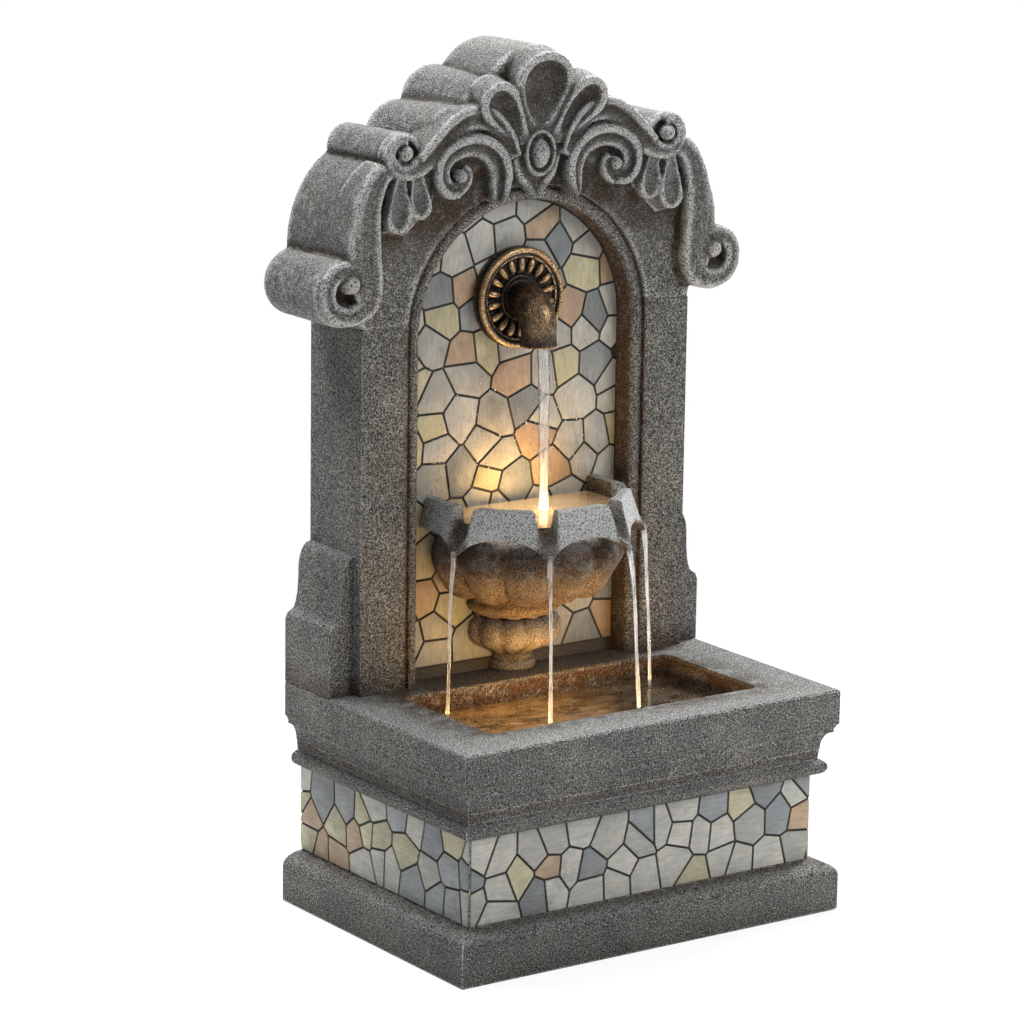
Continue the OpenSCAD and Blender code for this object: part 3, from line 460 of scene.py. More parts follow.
def cast_stone(
    name,
    wash_and_shade_of=None,
    brush_and_top_light_of=None,
    wet_of=None,
    lamp_glow_of=None,
    base=None,
    stain=None,
    worn=0.0,
    worn_above=False,
):
    """Gritty, pitted cast stone.

    The functions return where the brown wash with painted shade in the hollows, the dry brush with painted
    light from above on what faces up, the wet patches and the painted warm lamplight lie.
    base is the colour of the stone, and the colour after it that of the wash and its painted shade, if they
    differ from the fountain's.
    worn says how far the grit is rubbed smooth; worn_above leaves it rough below the shoulders.
    """
    look = bpy.context.scene.fountain_stone
    p = Paint(name)
    grain = p.noise(760, 2.5, 0.55, twist=0.6)
    body = base or tuple(look.body)
    grit = [(0.385, look.pits), (0.455, shade(body, 0.64)), (0.54, shade(body, 1.12)), (0.645, look.grains)]
    rubbed = p.span(p.z, 0.56, 0.63, 0.0, worn) if worn_above else worn
    colour = p.mix(rubbed, p.ramp(grain, grit), body)
    patches = p.ramp(p.noise(14, 4), [(0.3, (0.74, 0.76, 0.79)), (0.5, 1.0), (0.72, (1.3, 1.26, 1.16))])
    colour = p.mix(1.0, colour, patches, "MULTIPLY")
    colour = p.tinted(p.span(p.noise(60), 0.3, 0.7, 0.0, 0.5), colour, (1.25, 1.27, 1.3))
    # Painted warm light from the lamp below, tinting the stone where the function says.
    if lamp_glow_of:
        colour = p.tinted(lamp_glow_of(p), colour, (1.5, 1.05, 0.6))
    # Dry brush on edges, together with painted light from above where the function says so.
    if brush_and_top_light_of:
        brush_and_top_light = p.times(brush_and_top_light_of(p), p.span(grain, 0.42 - 0.1 * worn, 0.56 - 0.06 * worn))
        colour = p.mix(brush_and_top_light, colour, look.brushed)
    # Brown wash, together with painted shade, in the hollows and creases that the function marks.
    if wash_and_shade_of:
        loose = p.times(wash_and_shade_of(p), p.span(p.noise(70, 4, 0.7), 0.26, 0.55))
        brown = p.mix(p.span(grain, 0.4, 0.62), (0.014, 0.010, 0.007), stain or look.wash_and_shade)
        colour = p.mix(loose, colour, brown)
    rough = p.span(grain, 0.35, 0.65, 0.95, 0.7)
    if wet_of:
        wet = wet_of(p)
        soaked = p.mix(p.span(grain, 0.44, 0.60), (0.010, 0.007, 0.005), (0.115, 0.078, 0.047))
        colour = p.mix(p.times(wet, 0.88), colour, soaked)
        rough = p.less(rough, p.times(wet, 0.3))
    normal = p.bump(p.span(grain, 0.30, 0.70), 1.0, 2.4 * MM * (1.0 - 0.5 * worn))
    return p.surface(Base_Color=colour, Roughness=rough, Normal=normal, Specular_IOR_Level=0.22)


# ---------------------------------------------------------------- castings
# How much brown wash and painted shade the basin's creases get at each height, in shares of CREASES_TOP metres
CREASES_TOP = 0.25
CREASES = [
    (0.0, 0.2), (0.08, 0.0), (0.17, 0.0), (0.188, 0.5), (0.21, 0.0), (0.51, 0.0), (0.524, 0.5),
    (0.54, 0.05), (0.585, 0.05), (0.60, 0.5), (0.63, 0.1), (0.70, 0.0), (0.722, 0.35), (0.74, 0.0),
]


def basin_wash_and_shade(p):
    """Brown wash and painted shade in the crevices of the basin's mouldings, and brown down the trough's walls.
    """
    creases = p.times(p.ramp(p.math("DIVIDE", p.z, CREASES_TOP), CREASES), p.span(p.y, 0.1495, 0.1485))
    width, depth = p.between(p.x, -0.1512, 0.1512, 0.0004), p.between(p.y, -0.1022, 0.0452, 0.0004)
    return p.most(creases, p.times(width, depth, p.span(p.z, 0.2125, 0.2085)))


def rim_wet(p):
    """Dark wet patches on the rim round the trough and on its rear shelf."""
    aside = p.size(p.x)
    patches = p.span(p.noise(38, 4, 0.65), 0.42, 0.56)
    splash = p.times(p.span(aside, 0.190, 0.156), p.span(p.y, -0.130, -0.108), patches)
    rear = p.times(p.span(p.y, 0.030, 0.050), p.span(aside, 0.150, 0.10))
    return p.times(p.span(p.z, 0.2105, 0.2122), p.most(splash, rear))


def arch_distance(p):
    """Distance from the niche's middle plane and, above the foot of the arch, from its centre."""
    return p.distance(p.x, p.most(p.less(p.z, ARCH_Z * MM), 0.0))


def body_wash_and_shade(p):
    """Brown wash and painted shade in the niche's reveal and in the groove beside its moulding, and brown low
    down on the sides.
    """
    r = arch_distance(p)
    groove = p.times(p.between(r, 0.1268, 0.1352, 0.0016), p.span(p.y, 0.085, 0.080, 0.0, 0.9))
    reveal = p.times(p.between(r, 0.110, 0.1200, 0.0010), p.span(p.y, 0.0650, 0.0700))
    foot = p.times(p.span(p.z, 0.235, 0.214), p.span(p.y, 0.1495, 0.1485, 0.0, 0.7))
    return p.times(p.most(groove, reveal, foot), p.span(p.z, 0.2, 0.26, 1.0, 0.85))


def body_wet(p):
    """The sill under the niche stays wet."""
    low = p.times(p.span(p.z, 0.2262, 0.2246), p.span(arch_distance(p), 0.120, 0.116))
    return p.times(low, p.span(p.noise(60), 0.3, 0.5))


def edge_brush_and_top_light(p):
    """Dry brush on the worn edges, and painted light from above on what faces up."""
    worn = p.times(p.attribute("edge"), p.less(1.0, p.between(p.z, 0.5475, 0.5520, 0.0004)))
    return p.most(worn, p.times(upward(p), 0.5))


def grout_paint(name):
    """Dark, crumbly grout."""
    grout = bpy.context.scene.fountain_mosaic.grout
    p = Paint(name)
    grain = p.noise(900, 3, 0.7)
    colour = p.ramp(grain, [(0.3, shade(grout, 0.4)), (0.6, grout), (0.8, shade(grout, 2.2))])
    return p.surface(Base_Color=colour, Roughness=0.9, Normal=p.bump(grain, 0.5, 0.4 * MM))


def round_edges(obj, width):
    """Rounds the sharp edges and writes a mark on the rounded strips."""
    obj.data.materials.clear()
    for name in ("flat", "strip"):
        obj.data.materials.append(bpy.data.materials.new(name))
    strips = {"material": 1, "use_clamp_overlap": True, "miter_outer": "MITER_ARC"}
    modify(obj, "BEVEL", width=width, segments=4, limit_method="ANGLE", angle_limit=math.radians(32), **strips)
    mesh = obj.data
    flat = np.zeros(len(mesh.vertices), bool)
    for face in mesh.polygons:
        if face.material_index == 0:
            flat[list(face.vertices)] = True
    set_attribute(obj, "edge", np.where(flat, 0.0, 1.0))
    mesh.polygons.foreach_set("material_index", np.zeros(len(mesh.polygons), np.int32))
    spare = list(mesh.materials)
    mesh.materials.clear()
    for m in spare:
        bpy.data.materials.remove(m)
    return obj


def united(nodes, name):
    """One mesh from CAD nodes that touch."""
    obj = cad_copy(nodes[0], name)
    for node in nodes[1:]:
        combine(obj, cad_copy(node, "other"), "UNION")
    return obj


def casting(nodes, name, paint, width, is_grout=None):
    """A casting with worn edges, and grout where its mosaic sits."""
    obj = flatten_faces(united(nodes, name))
    round_edges(obj, width)
    smooth(obj, 40)
    if not is_grout:
        return give(obj, "cast_stone", paint, nodes=nodes)
    give(obj, "cast_stone", paint, grout_paint(f"{name}_grout"), nodes=nodes)
    for face in obj.data.polygons:
        face.material_index = int(is_grout(face.center, face.normal))
    return obj


def on_band(c, n):
    """The three upright faces that carry the mosaic band, from a face's centre and normal."""
    if not (BAND_LOW - 1) * MM < c.z < (BAND_HIGH + 1) * MM:
        return False
    front = n.y < -0.99 and c.y < (BAND_Y + 0.5) * MM
    return front or (abs(n.x) > 0.99 and abs(abs(c.x) - BAND_R * MM) < 0.5 * MM)


def panel_paint():
    """Dark grout behind the niche's stones, and dark stone at its edges and along its foot."""
    p = Paint("niche_panel_stone")
    grain = p.noise(700, 4, 0.75)
    stops = [(0.35, (0.008, 0.006, 0.005)), (0.52, (0.026, 0.019, 0.013)), (0.66, (0.065, 0.048, 0.032))]
    stone = p.ramp(grain, stops)
    grout = p.ramp(grain, [(0.35, 0.008), (0.6, bpy.context.scene.fountain_mosaic.grout)])
    front, low = p.span(p.y, 0.0950, 0.0940), p.span(p.z, 0.2350, 0.2330)
    colour = p.mix(p.most(low, p.less(1.0, front)), grout, stone)
    return p.surface(Base_Color=colour, Roughness=0.8, Normal=p.bump(grain, 0.6, 0.7 * MM))


def tub_paint():
    """Brown, water-stained walls of the tub."""
    p = Paint("tub_stone")
    grain = p.noise(420, 4, 0.75)
    patches = p.span(p.noise(22, 4, 0.65), 0.3, 0.7)
    colour = p.mix(patches, (0.085, 0.052, 0.026), (0.17, 0.115, 0.062))
    colour = p.mix(p.span(grain, 0.48, 0.36), colour, (0.03, 0.02, 0.012))
    return p.surface(Base_Color=colour, Roughness=0.6, Normal=p.bump(grain, 0.8, 1.0 * MM))


class FOUNTAIN_OT_castings(bpy.types.Operator):
    """The basin and the upper body, with worn edges, painted light from above, brown wash and painted shade,
    wet rim and grout under the mosaic
    """

    bl_idname = "fountain.castings"
    bl_label = "Castings"

    def execute(self, context):
        edge = context.scene.fountain_stone.edge
        basin_stone = cast_stone("basin_stone", basin_wash_and_shade, edge_brush_and_top_light, rim_wet)
        casting(["basin_plinth"], "plinth_casting", basin_stone, edge, on_band)
        casting(["basin_rim", "basin_cove", "basin_shelf"], "rim_casting", basin_stone, edge)
        upper_stone = cast_stone("upper_stone", body_wash_and_shade, edge_brush_and_top_light, body_wet)
        casting(["upper_body"], "upper_casting", upper_stone, edge)
        paint_node("basin_tub", tub_paint())
        paint_node("niche_panel", panel_paint())
        paint_node("back_panel", cast_stone("back_stone"))
        return {"FINISHED"}


# ---------------------------------------------------------------- carving
def catmull(points, steps=6):
    """A smooth path through points that each hold a place and a radius."""
    pts = np.asarray(points, float)
    ends = np.vstack([2 * pts[0] - pts[1], pts, 2 * pts[-1] - pts[-2]])
    out = []
    for i in range(len(pts) - 1):
        a, b, c, d = ends[i : i + 4]
        for t in np.linspace(0, 1, steps, endpoint=False):
            square, cube = 2 * a - 5 * b + 4 * c - d, 3 * b - a - 3 * c + d
            out.append(0.5 * (2 * b + (c - a) * t + square * t**2 + cube * t**3))
    out.append(pts[-1])
    return np.array(out)


def drawn(points, closed=False, flat=False):
    """A curve through points of (x, y, z, radius), in millimetres."""
    bpy.ops.curve.primitive_nurbs_path_add()
    obj = bpy.context.object
    curve = obj.data
    curve.splines.clear()
    curve.dimensions = "2D" if flat else "3D"
    spline = curve.splines.new("POLY")
    spline.points.add(len(points) - 1)
    for point, (x, y, z, r) in zip(spline.points, points):
        point.co = (x * MM, y * MM, z * MM, 1.0)
        point.radius = r
    spline.use_cyclic_u = closed
    return obj


def to_mesh(obj, name):
    """Makes a mesh of a curve."""
    only(obj)
    bpy.ops.object.convert(target="MESH")
    return settle(bpy.context.object, name)


# Half sections of the carved bands: across and outwards, in half widths
FLAT_BAND = [(1.0, -2.6), (1.03, -0.15), (0.97, 0.14), (0.84, 0.31), (0.64, 0.38), (0.36, 0.34), (0.12, 0.32)]
ROUND_BAND = [(1.0, -2.6), (1.03, -0.1), (0.93, 0.28), (0.68, 0.52), (0.35, 0.62), (0.12, 0.65)]


def carved_band(path, front, section=FLAT_BAND):
    """A band that follows a path of (x, z, half width), its crest at one depth."""
    top = max(v for _, v in section)
    ring = section + [(-u, v) for u, v in reversed(section)]
    profile = drawn([(u, v, 0, 1) for u, v in ring], True, True)
    obj = drawn([(x, z, -front - top * r, r) for x, z, r in catmull(path)])
    curve = obj.data
    curve.twist_mode = "Z_UP"
    curve.bevel_mode = "OBJECT"
    curve.bevel_object = profile
    curve.use_fill_caps = True
    obj = to_mesh(obj, "band")
    bpy.data.objects.remove(profile)
    return outwards(stood_up(obj))


def stood_up(obj):
    """Turns a piece drawn flat so that it stands in X and Z and faces the front."""
    obj.rotation_euler = (math.pi / 2, 0, 0)
    return settle(obj, obj.name)


def tube(path, name, sides):
    """A round bar along points of (x, y, z, radius), in millimetres, with its ends closed."""
    obj = drawn(path)
    obj.data.bevel_depth = MM
    obj.data.bevel_resolution = max(1, sides // 4 - 1)
    obj.data.use_fill_caps = True
    return outwards(to_mesh(obj, name))


def clay_ring(path, front, deep):
    """A rounded ring through points of (x, z, radius), its crest at one depth, drawn out towards the back."""
    pts = catmull(path + [path[0]], 3)[:-1]
    obj = drawn([(x, front + r, z, r) for x, z, r in pts], True)
    obj.data.bevel_depth = MM
    obj.data.bevel_resolution = 4
    obj.data.use_fill_caps = True
    obj = to_mesh(obj, "roll")
    stretch = {"value": (1, deep, 1), "center_override": (0, front * MM, 0)}
    return outwards(edit(obj, lambda: bpy.ops.transform.resize(**stretch)))


def rounded(obj, width, angle, segments=3):
    """Rounds the edges of a piece that are sharper than the angle."""
    return modify(
        obj, "BEVEL", width=width, segments=segments, limit_method="ANGLE", angle_limit=math.radians(angle)
    )


def plate(outline, y0, y1):
    """A solid plate from an outline in X and Z."""
    obj = drawn([(x, z, 0, 1) for x, z in outline], True, True)
    obj.data.fill_mode = "BOTH"
    obj.data.extrude = (y1 - y0) / 2 * MM
    obj = stood_up(to_mesh(obj, "plate"))
    obj.location.y = (y0 + y1) / 2 * MM
    settle(obj, "plate")
    return outwards(edit(obj, lambda: bpy.ops.mesh.remove_doubles(threshold=1e-6)))


def behind(obj, y, step):
    """Runs one edit-mode step on the part of a piece behind a depth."""
    only(obj)
    for v in obj.data.vertices:
        v.select = v.co.y > y * MM
    bpy.ops.object.mode_set(mode="EDIT")
    bpy.ops.mesh.select_mode(type="VERT")
    step()
    bpy.ops.object.mode_set(mode="OBJECT")
    return obj


def rod_y(x, z, r, y0, y1, sides):
    """A cylinder that runs from the front to the back."""
    bpy.ops.mesh.primitive_cylinder_add(
        vertices=sides,
        radius=r * MM,
        depth=(y1 - y0) * MM,
        location=(x * MM, (y0 + y1) / 2 * MM, z * MM),
        rotation=(math.pi / 2, 0, 0),
    )
    return bpy.context.object


def sheared_roll(front, back, r, y0):
    """A roll that runs from the front to the back, its two ends in different places."""
    obj = settle(rod_y(*front, r, y0, BACK_Y, 64), "roll")
    rounded(obj, min(7.0, r * 0.3) * MM, 60)
    shift = ((back[0] - front[0]) * MM, 0, (back[1] - front[1]) * MM)
    return behind(obj, (y0 + BACK_Y) / 2, lambda: bpy.ops.transform.translate(value=shift))


def hollow_roll(front, back, r, y0, inner):
    """A roll whose front end is hollowed to the face behind it."""
    obj = sheared_roll(front, back, r, y0)
    return combine(obj, rod_y(*front, inner, FACE_Y - 27, FACE_Y - 3, 48))


def knob(x, z, r, front, deep, tall=1.0):
    """A rounded knob whose front lies at one depth."""
    place = (x * MM, (front + r * deep) * MM, z * MM)
    bpy.ops.mesh.primitive_uv_sphere_add(
        segments=32, ring_count=16, radius=r * MM, location=place, scale=(1, deep, tall)
    )
    return settle(bpy.context.object, "knob")


def drop_outline(apex, head, r, narrow=2.5, steps=18):
    """Outline of a drop: a round head and a narrow end."""
    ax, az = apex
    hx, hz = head
    along = math.atan2(hz - az, hx - ax)
    turn = math.radians(102)
    angles = [along - turn + 2 * turn * k / steps for k in range(steps + 1)]
    pts = [(hx + r * math.cos(a), hz + r * math.sin(a)) for a in angles]
    side = (-math.sin(along) * narrow, math.cos(along) * narrow)
    return [(ax - side[0], az - side[1])] + pts + [(ax + side[0], az + side[1])]


def egg(apex, head, r, front, deep):
    """A form like an egg, narrow at the apex, to hollow a lobe with."""
    bpy.ops.mesh.primitive_uv_sphere_add(segments=32, ring_count=20, radius=1)
    obj = bpy.context.object
    start, end = Vector((apex[0], 0, apex[1])), Vector((head[0], 0, head[1]))
    along = (end - start).normalized()
    side = Vector((along.z, 0, -along.x))
    for v in obj.data.vertices:
        t = (v.co.z + 1) / 2
        wide = (0.45 + 0.55 * t) / 0.8
        middle = start + along * (t * ((end - start).length + r))
        inwards = Vector((0, front - 0.3 * deep + v.co.y * deep * 1.3 * wide, 0))
        v.co = (middle + side * (v.co.x * r * wide) + inwards) * MM
    return outwards(settle(obj, "egg"))


def lobe(apex, head, r, rim, front, deep, narrow=3.0):
    """A full lobe with a rounded rim, hollowed like a spoon."""
    obj = rounded(plate(drop_outline(apex, head, r, narrow), front, FACE_Y + 6), rim * 0.55 * MM, 50)
    along = Vector((head[0] - apex[0], head[1] - apex[1])).normalized() * rim
    return combine(obj, egg((apex[0] + along.x, apex[1] + along.y), head, r - rim, front, deep))


def beside(path, share, narrow):
    """A path moved to its left by a share of the half width, and narrowed."""
    out = []
    for i, (x, z, r) in enumerate(path):
        before, after = path[max(i - 1, 0)], path[min(i + 1, len(path) - 1)]
        along = Vector((after[0] - before[0], after[1] - before[1])).normalized()
        out.append((x - along.y * r * share, z + along.x * r * share, r * narrow))
    return out


def mirrored(objects):
    """Copies of the objects on the fountain's other side."""
    made = []
    for o in objects:
        c = o.copy()
        c.data = o.data.copy()
        bpy.context.scene.collection.objects.link(c)
        c.data.transform(Matrix.Scale(-1, 4, (1, 0, 0)))
        c.data.flip_normals()
        made.append(c)
    return made


# Paths of the crest's left side, in points of (x, z, half width)
SHOULDER = [
    (165, 699, 9), (174.5, 686, 11), (182, 667, 13), (184.5, 645, 15), (183.5, 622, 15), (180.5, 604, 13),
    (179.5, 590, 12), (183.5, 577.5, 11),
]
CURL = [
    (193, 571, 10), (204.5, 569, 9.2), (215.5, 572, 8.6), (223.2, 579.5, 8.2), (226, 589.5, 8), (224, 599.8, 8),
    (217.5, 607.6, 8.2), (208.5, 611, 7.8), (199.5, 611, 6.6), (193.5, 605.5, 5.4), (194.5, 598.5, 4.4),
]
ARM = [
    (27, 700, 5), (38, 721, 8), (55, 735.5, 10.5), (75, 738, 11.5), (94, 729.5, 12), (111, 714.5, 11.5),
    (126, 701, 10),
]
WRAP = [
    (139, 694.5, 7.6), (151, 695, 6.2), (159, 702, 5.4), (161.5, 711, 5.2), (158, 719.5, 5),
    (150.5, 724.5, 4.8), (143, 723, 4.4),
]
SCROLL = [
    (45, 660, 4.5), (42, 672, 8.5), (41.5, 688, 10.5), (48, 702, 11), (61, 711, 11), (77, 713.2, 10.5),
    (93, 708.5, 10), (103.5, 698.5, 9.6), (104.5, 685, 9), (97.5, 675.5, 8.2), (87, 674.5, 7), (79, 680, 6),
    (77, 688, 5.3), (81.5, 694, 4.6),
]
# The bands that hold the pendant, for the side with x above 0
PENDANT_BAND = [(20, 712, 3.6), (21.5, 698, 4.4), (17, 683, 4.4), (9, 672, 3.6), (1.5, 661, 2.5)]
# Outlines of the crest's masses, in points of (x, z)
CORE = [
    (182.5, 551.5), (186, 590), (188, 622), (184, 647), (173, 672), (158, 692), (140, 700), (120, 715),
    (96, 728), (60, 745), (20, 758),
]
BULGE_RISE = [(188, 566), (199, 590), (204, 622), (200, 650), (189, 676), (172, 696), (150, 708)]
BULGE_INNER = [(150, 696), (170, 680), (181, 650), (182, 622), (180, 600), (178, 566)]
FILL = [
    (130, 704), (150, 703), (170, 691), (186, 672), (195, 650), (198, 622), (193, 592), (186, 570), (160, 570),
    (158, 640), (130, 680),
]
LEAF_GROUND = [(96, 722), (116, 712), (150, 700), (160, 676), (163, 640), (140, 636), (112, 662)]


def crest_core():
    """The mass of the crest over the arch, with a bulge along each shoulder."""
    turns = [math.radians(a) for a in np.linspace(5.9, 174.1, 60)]
    arc = [(math.cos(a) * (GROOVE_R + 0.3), ARCH_Z + math.sin(a) * (GROOVE_R + 0.3)) for a in turns]
    core = plate(CORE + [(-x, z) for x, z in reversed(CORE)] + arc[::-1], FACE_Y, BACK_Y)
    rise = [(x, z) for x, z, _ in catmull([(x, z, 0) for x, z in BULGE_RISE], 5)]
    bulge = rounded(plate(rise + BULGE_INNER, 50.5, BACK_Y), 12 * MM, 50, 5)
    wider = {"value": (1.03, 1, 1.02), "center_override": (0, 0, 0.62)}
    behind(bulge, 100, lambda: bpy.ops.transform.resize(**wider))
    fill = plate(FILL, FACE_Y + 4, BACK_Y)
    return [core, bulge, fill] + mirrored([bulge, fill])


def crest_side():
    """Everything that repeats on both sides of the crest."""
    return [
        # The rolls: two under the arm, the hooked one, the large lower one
        sheared_roll((46, 738), (57, 744), 33, 60),
        sheared_roll((80, 715), (95, 713), 34, 60),
        hollow_roll((144.5, 709.5), (149, 709), 20, 54, 14),
        hollow_roll((205, 589), (205, 589), 31, 53, 22),
        plate(LEAF_GROUND, 59.5, FACE_Y + 4),
        # Broad band that comes down the shoulder and curls under the lower roll
        carved_band(SHOULDER + CURL, 50),
        knob(202, 598, 9.4, 44, 1.4),
        # Arm from the middle over the scroll, curled under the upper roll
        carved_band(ARM + WRAP, 49.5),
        carved_band(beside(ARM, 0.66, 0.34), 46, ROUND_BAND),
        knob(145.5, 711.5, 7.4, 44, 1.5),
        # C-scroll over the arch, with a bead along its outer edge
        carved_band(SCROLL, 52),
        carved_band(beside(SCROLL[:-3], 0.62, 0.42), 47, ROUND_BAND),
        knob(86, 687, 6.2, 44, 1.6),
        # Leaves between the arm and the shoulder band
        lobe((133, 702), (127.5, 662), 12, 3.2, 52, 6),
        lobe((150, 696), (151.5, 652.5), 13.2, 3.4, 50.5, 7),
        # Side lobe of the shell
        leaned(lobe((16, 712), (49, 750), 20.5, 5.6, 42, 10, 5.5), (49, 42, 750), 12),
    ]


def leaned(obj, about, degrees):
    """Tips a lobe about its head, so that its narrow end comes forward."""
    turn = Matrix.Rotation(math.radians(degrees), 4, "X")
    place = Matrix.Translation(Vector(about) * MM)
    obj.data.transform(place @ turn @ place.inverted())
    return obj


def crest_middle():
    """The middle lobe of the shell, the oval jewel in its ring and the pendant under it."""
    made = [sheared_roll((0, 745), (0, 745), 54.5, 60)]
    made.append(leaned(lobe((0, 716), (0, 764), 32, 6.6, 42, 12, 11.0), (0, 42, 764), 12))
    turns = np.linspace(0, 2 * math.pi, 20, endpoint=False)
    made.append(clay_ring([(15.2 * math.cos(t), 702.5 + 19.6 * math.sin(t), 3.3) for t in turns], 47, 4.0))
    made.append(knob(0, 702, 10.4, 41.5, 1.3, 1.38))
    made.append(plate(drop_outline((0, 662), (0, 702), 17, 2), 56, FACE_Y + 3))
    for side in (-1, 1):
        made.append(carved_band([(side * x, z, r) for x, z, r in PENDANT_BAND], 54, ROUND_BAND))
    return made


def carve(parts, name, voxel, passes, uneven=0.9):
    """Fuses the parts into one skin and softens it as worn carving."""
    obj = refined(join(parts, name), voxel, passes)
    roughen(obj, uneven * MM, 0.022)
    roughen(obj, uneven * 0.45 * MM, 0.006)
    thin_out(obj)
    mark_relief(obj)
    return obj


def relief_brush_and_top_light(p):
    """Dry brush on what stands proud, and painted light from above on what faces up."""
    proud = p.times(p.span(p.attribute("relief"), -0.06, -0.50), p.span(p.z, 0.5530, 0.5570, 0.0, 0.88))
    proud = p.times(proud, p.span(arch_distance(p), 0.1330, 0.1400, 0.25, 1.0))
    return p.most(proud, p.times(upward(p), 0.3))


def leaf_area(p):
    """The four leaves, which are brushed pale all over."""
    area = p.times(p.between(p.size(p.x), 0.1150, 0.1655, 0.0010), p.between(p.z, 0.636, 0.690, 0.006))
    return p.times(area, p.span(p.y, 0.0620, 0.0595))


def crest_brush_and_top_light(p):
    """Dry brush on the crest's proud edges and on its leaves, and painted light from above on what faces up."""
    return p.most(relief_brush_and_top_light(p), p.times(leaf_area(p), 0.38))


def crest_wash_and_shade(p):
    """Brown-black wash and painted shade in the hollows and on the ground between the carving, lighter on the
    leaves.
    """
    low = p.span(p.z, 0.71, 0.62)
    hollow = p.span(p.attribute("relief"), 0.03, 0.32)
    ground = p.times(p.span(p.y, 0.0565, 0.0635), p.span(p.looks(1), -0.6, -0.9))
    ground = p.times(ground, p.span(p.z, 0.605, 0.64, 0.0, 0.95))
    dark = p.most(p.times(hollow, p.span(low, 0.0, 1.0, 0.8, 1.0)), ground)
    return p.times(dark, p.less(1.0, p.times(leaf_area(p), 0.45)))


class FOUNTAIN_OT_crest(bpy.types.Operator):
    """The carved crest: shell lobes, oval stone, C-scrolls, leaves and rolled ends, fused and worn"""

    bl_idname = "fountain.crest"
    bl_label = "Crest"

    def execute(self, context):
        side = crest_side()
        parts = crest_core() + side + mirrored(side) + crest_middle()
        obj = carve(parts, "crest_carving", context.scene.fountain_stone.voxel, 5)
        co = places(obj)
        co[:, 1] = np.minimum(co[:, 1], BACK_Y * MM)
        co[:, 2] = np.minimum(co[:, 2], CAD_BOX[1].z)
        co[:, 0] = np.clip(co[:, 0], CAD_BOX[0].x, CAD_BOX[1].x)
        place_points(obj, co)
        smooth(obj)
        # The crest's stone colour, and the colour of its wash and painted shade.
        colours = {"base": (0.080, 0.082, 0.077), "stain": (0.056, 0.034, 0.019)}
        stone = cast_stone("crest_stone", crest_wash_and_shade, crest_brush_and_top_light, worn=0.42, worn_above=True, **colours)
        give(obj, "carved_stone", stone, nodes=["crest"])
        return {"FINISHED"}


def bowl_wash_and_shade(p):
    """Brown wash and painted shade in the bowl's hollows, under its collar and on its cup."""
    under = p.times(p.span(p.z, 0.350, 0.342), p.span(p.z, 0.300, 0.325))
    cup = p.times(p.between(p.z, 0.272, 0.302, 0.008), 0.8)
    return p.most(cup, p.span(p.attribute("relief"), 0.05, 0.5), p.times(under, 0.9))


def bowl_brush_and_top_light(p):
    """Dry brush on the bowl's proud edges, and painted light from above all over its collar and on what faces
    up.
    """
    return p.most(p.times(p.span(p.z, 0.349, 0.356), 0.9), relief_brush_and_top_light(p))


def bowl_lamp_glow(p):
    """Painted warm light from the basin's lamp on the lower half of the bowl."""
    return p.times(p.span(p.z, 0.335, 0.310), p.span(p.z, 0.262, 0.272, 0.5, 1.0))


def bowl_wet(p):
    """Dark and wet inside the bowl, in its four spill channels and at its foot."""
    radius = p.distance(p.x, p.less(p.y, BOWL_AXIS[1] * MM))
    inside = p.times(p.span(radius, 0.0885, 0.0865), p.span(p.z, 0.330, 0.336))
    angle = p.math("ARCTAN2", p.size(p.x), p.less(BOWL_AXIS[1] * MM, p.y))
    turn = p.size(p.less(p.size(p.less(angle, math.radians(45))), math.radians(22.5)))
    channel = p.times(p.span(turn, 0.115, 0.075), p.span(radius, 0.084, 0.088), p.span(p.z, 0.340, 0.344))
    return p.most(p.times(p.span(p.z, 0.246, 0.238), 0.35), inside, p.times(channel, 0.8))


class FOUNTAIN_OT_bowl(bpy.types.Operator):
    """The lobed bowl on the niche, worn, wet in its spill channels"""

    bl_idname = "fountain.bowl"
    bl_label = "Bowl"

    def execute(self, context):
        voxel = context.scene.fountain_stone.voxel * BOWL_VOXEL
        castings = [cad_copy("bowl", "bowl_body"), cad_copy("bowl_rim", "bowl_lobes")]
        obj = carve(castings, "bowl_casting", voxel, 3, 0.7)
        co = places(obj)
        co[:, 1] = np.minimum(co[:, 1], STONES_Y * MM)
        place_points(obj, co)
        smooth(obj)
        base = (0.15, 0.154, 0.156)
        stone = cast_stone("bowl_stone", bowl_wash_and_shade, bowl_brush_and_top_light, bowl_wet, bowl_lamp_glow, base, worn=0.35)
        give(obj, "carved_stone", stone, nodes=["bowl", "bowl_rim"])
        return {"FINISHED"}


# ---------------------------------------------------------------- mosaic
def stone_groups(obj):
    """Numbers the separate stones of a mosaic, and returns each vertex's stone."""
    root = np.arange(len(obj.data.vertices))
    a, b = edge_ends(obj)
    while True:
        low = np.minimum(root[a], root[b])
        new = root.copy()
        np.minimum.at(new, a, low)
        np.minimum.at(new, b, low)
        new = new[new]
        if (new == root).all():
            break
        root = new
    return np.unique(root, return_inverse=True)[1]


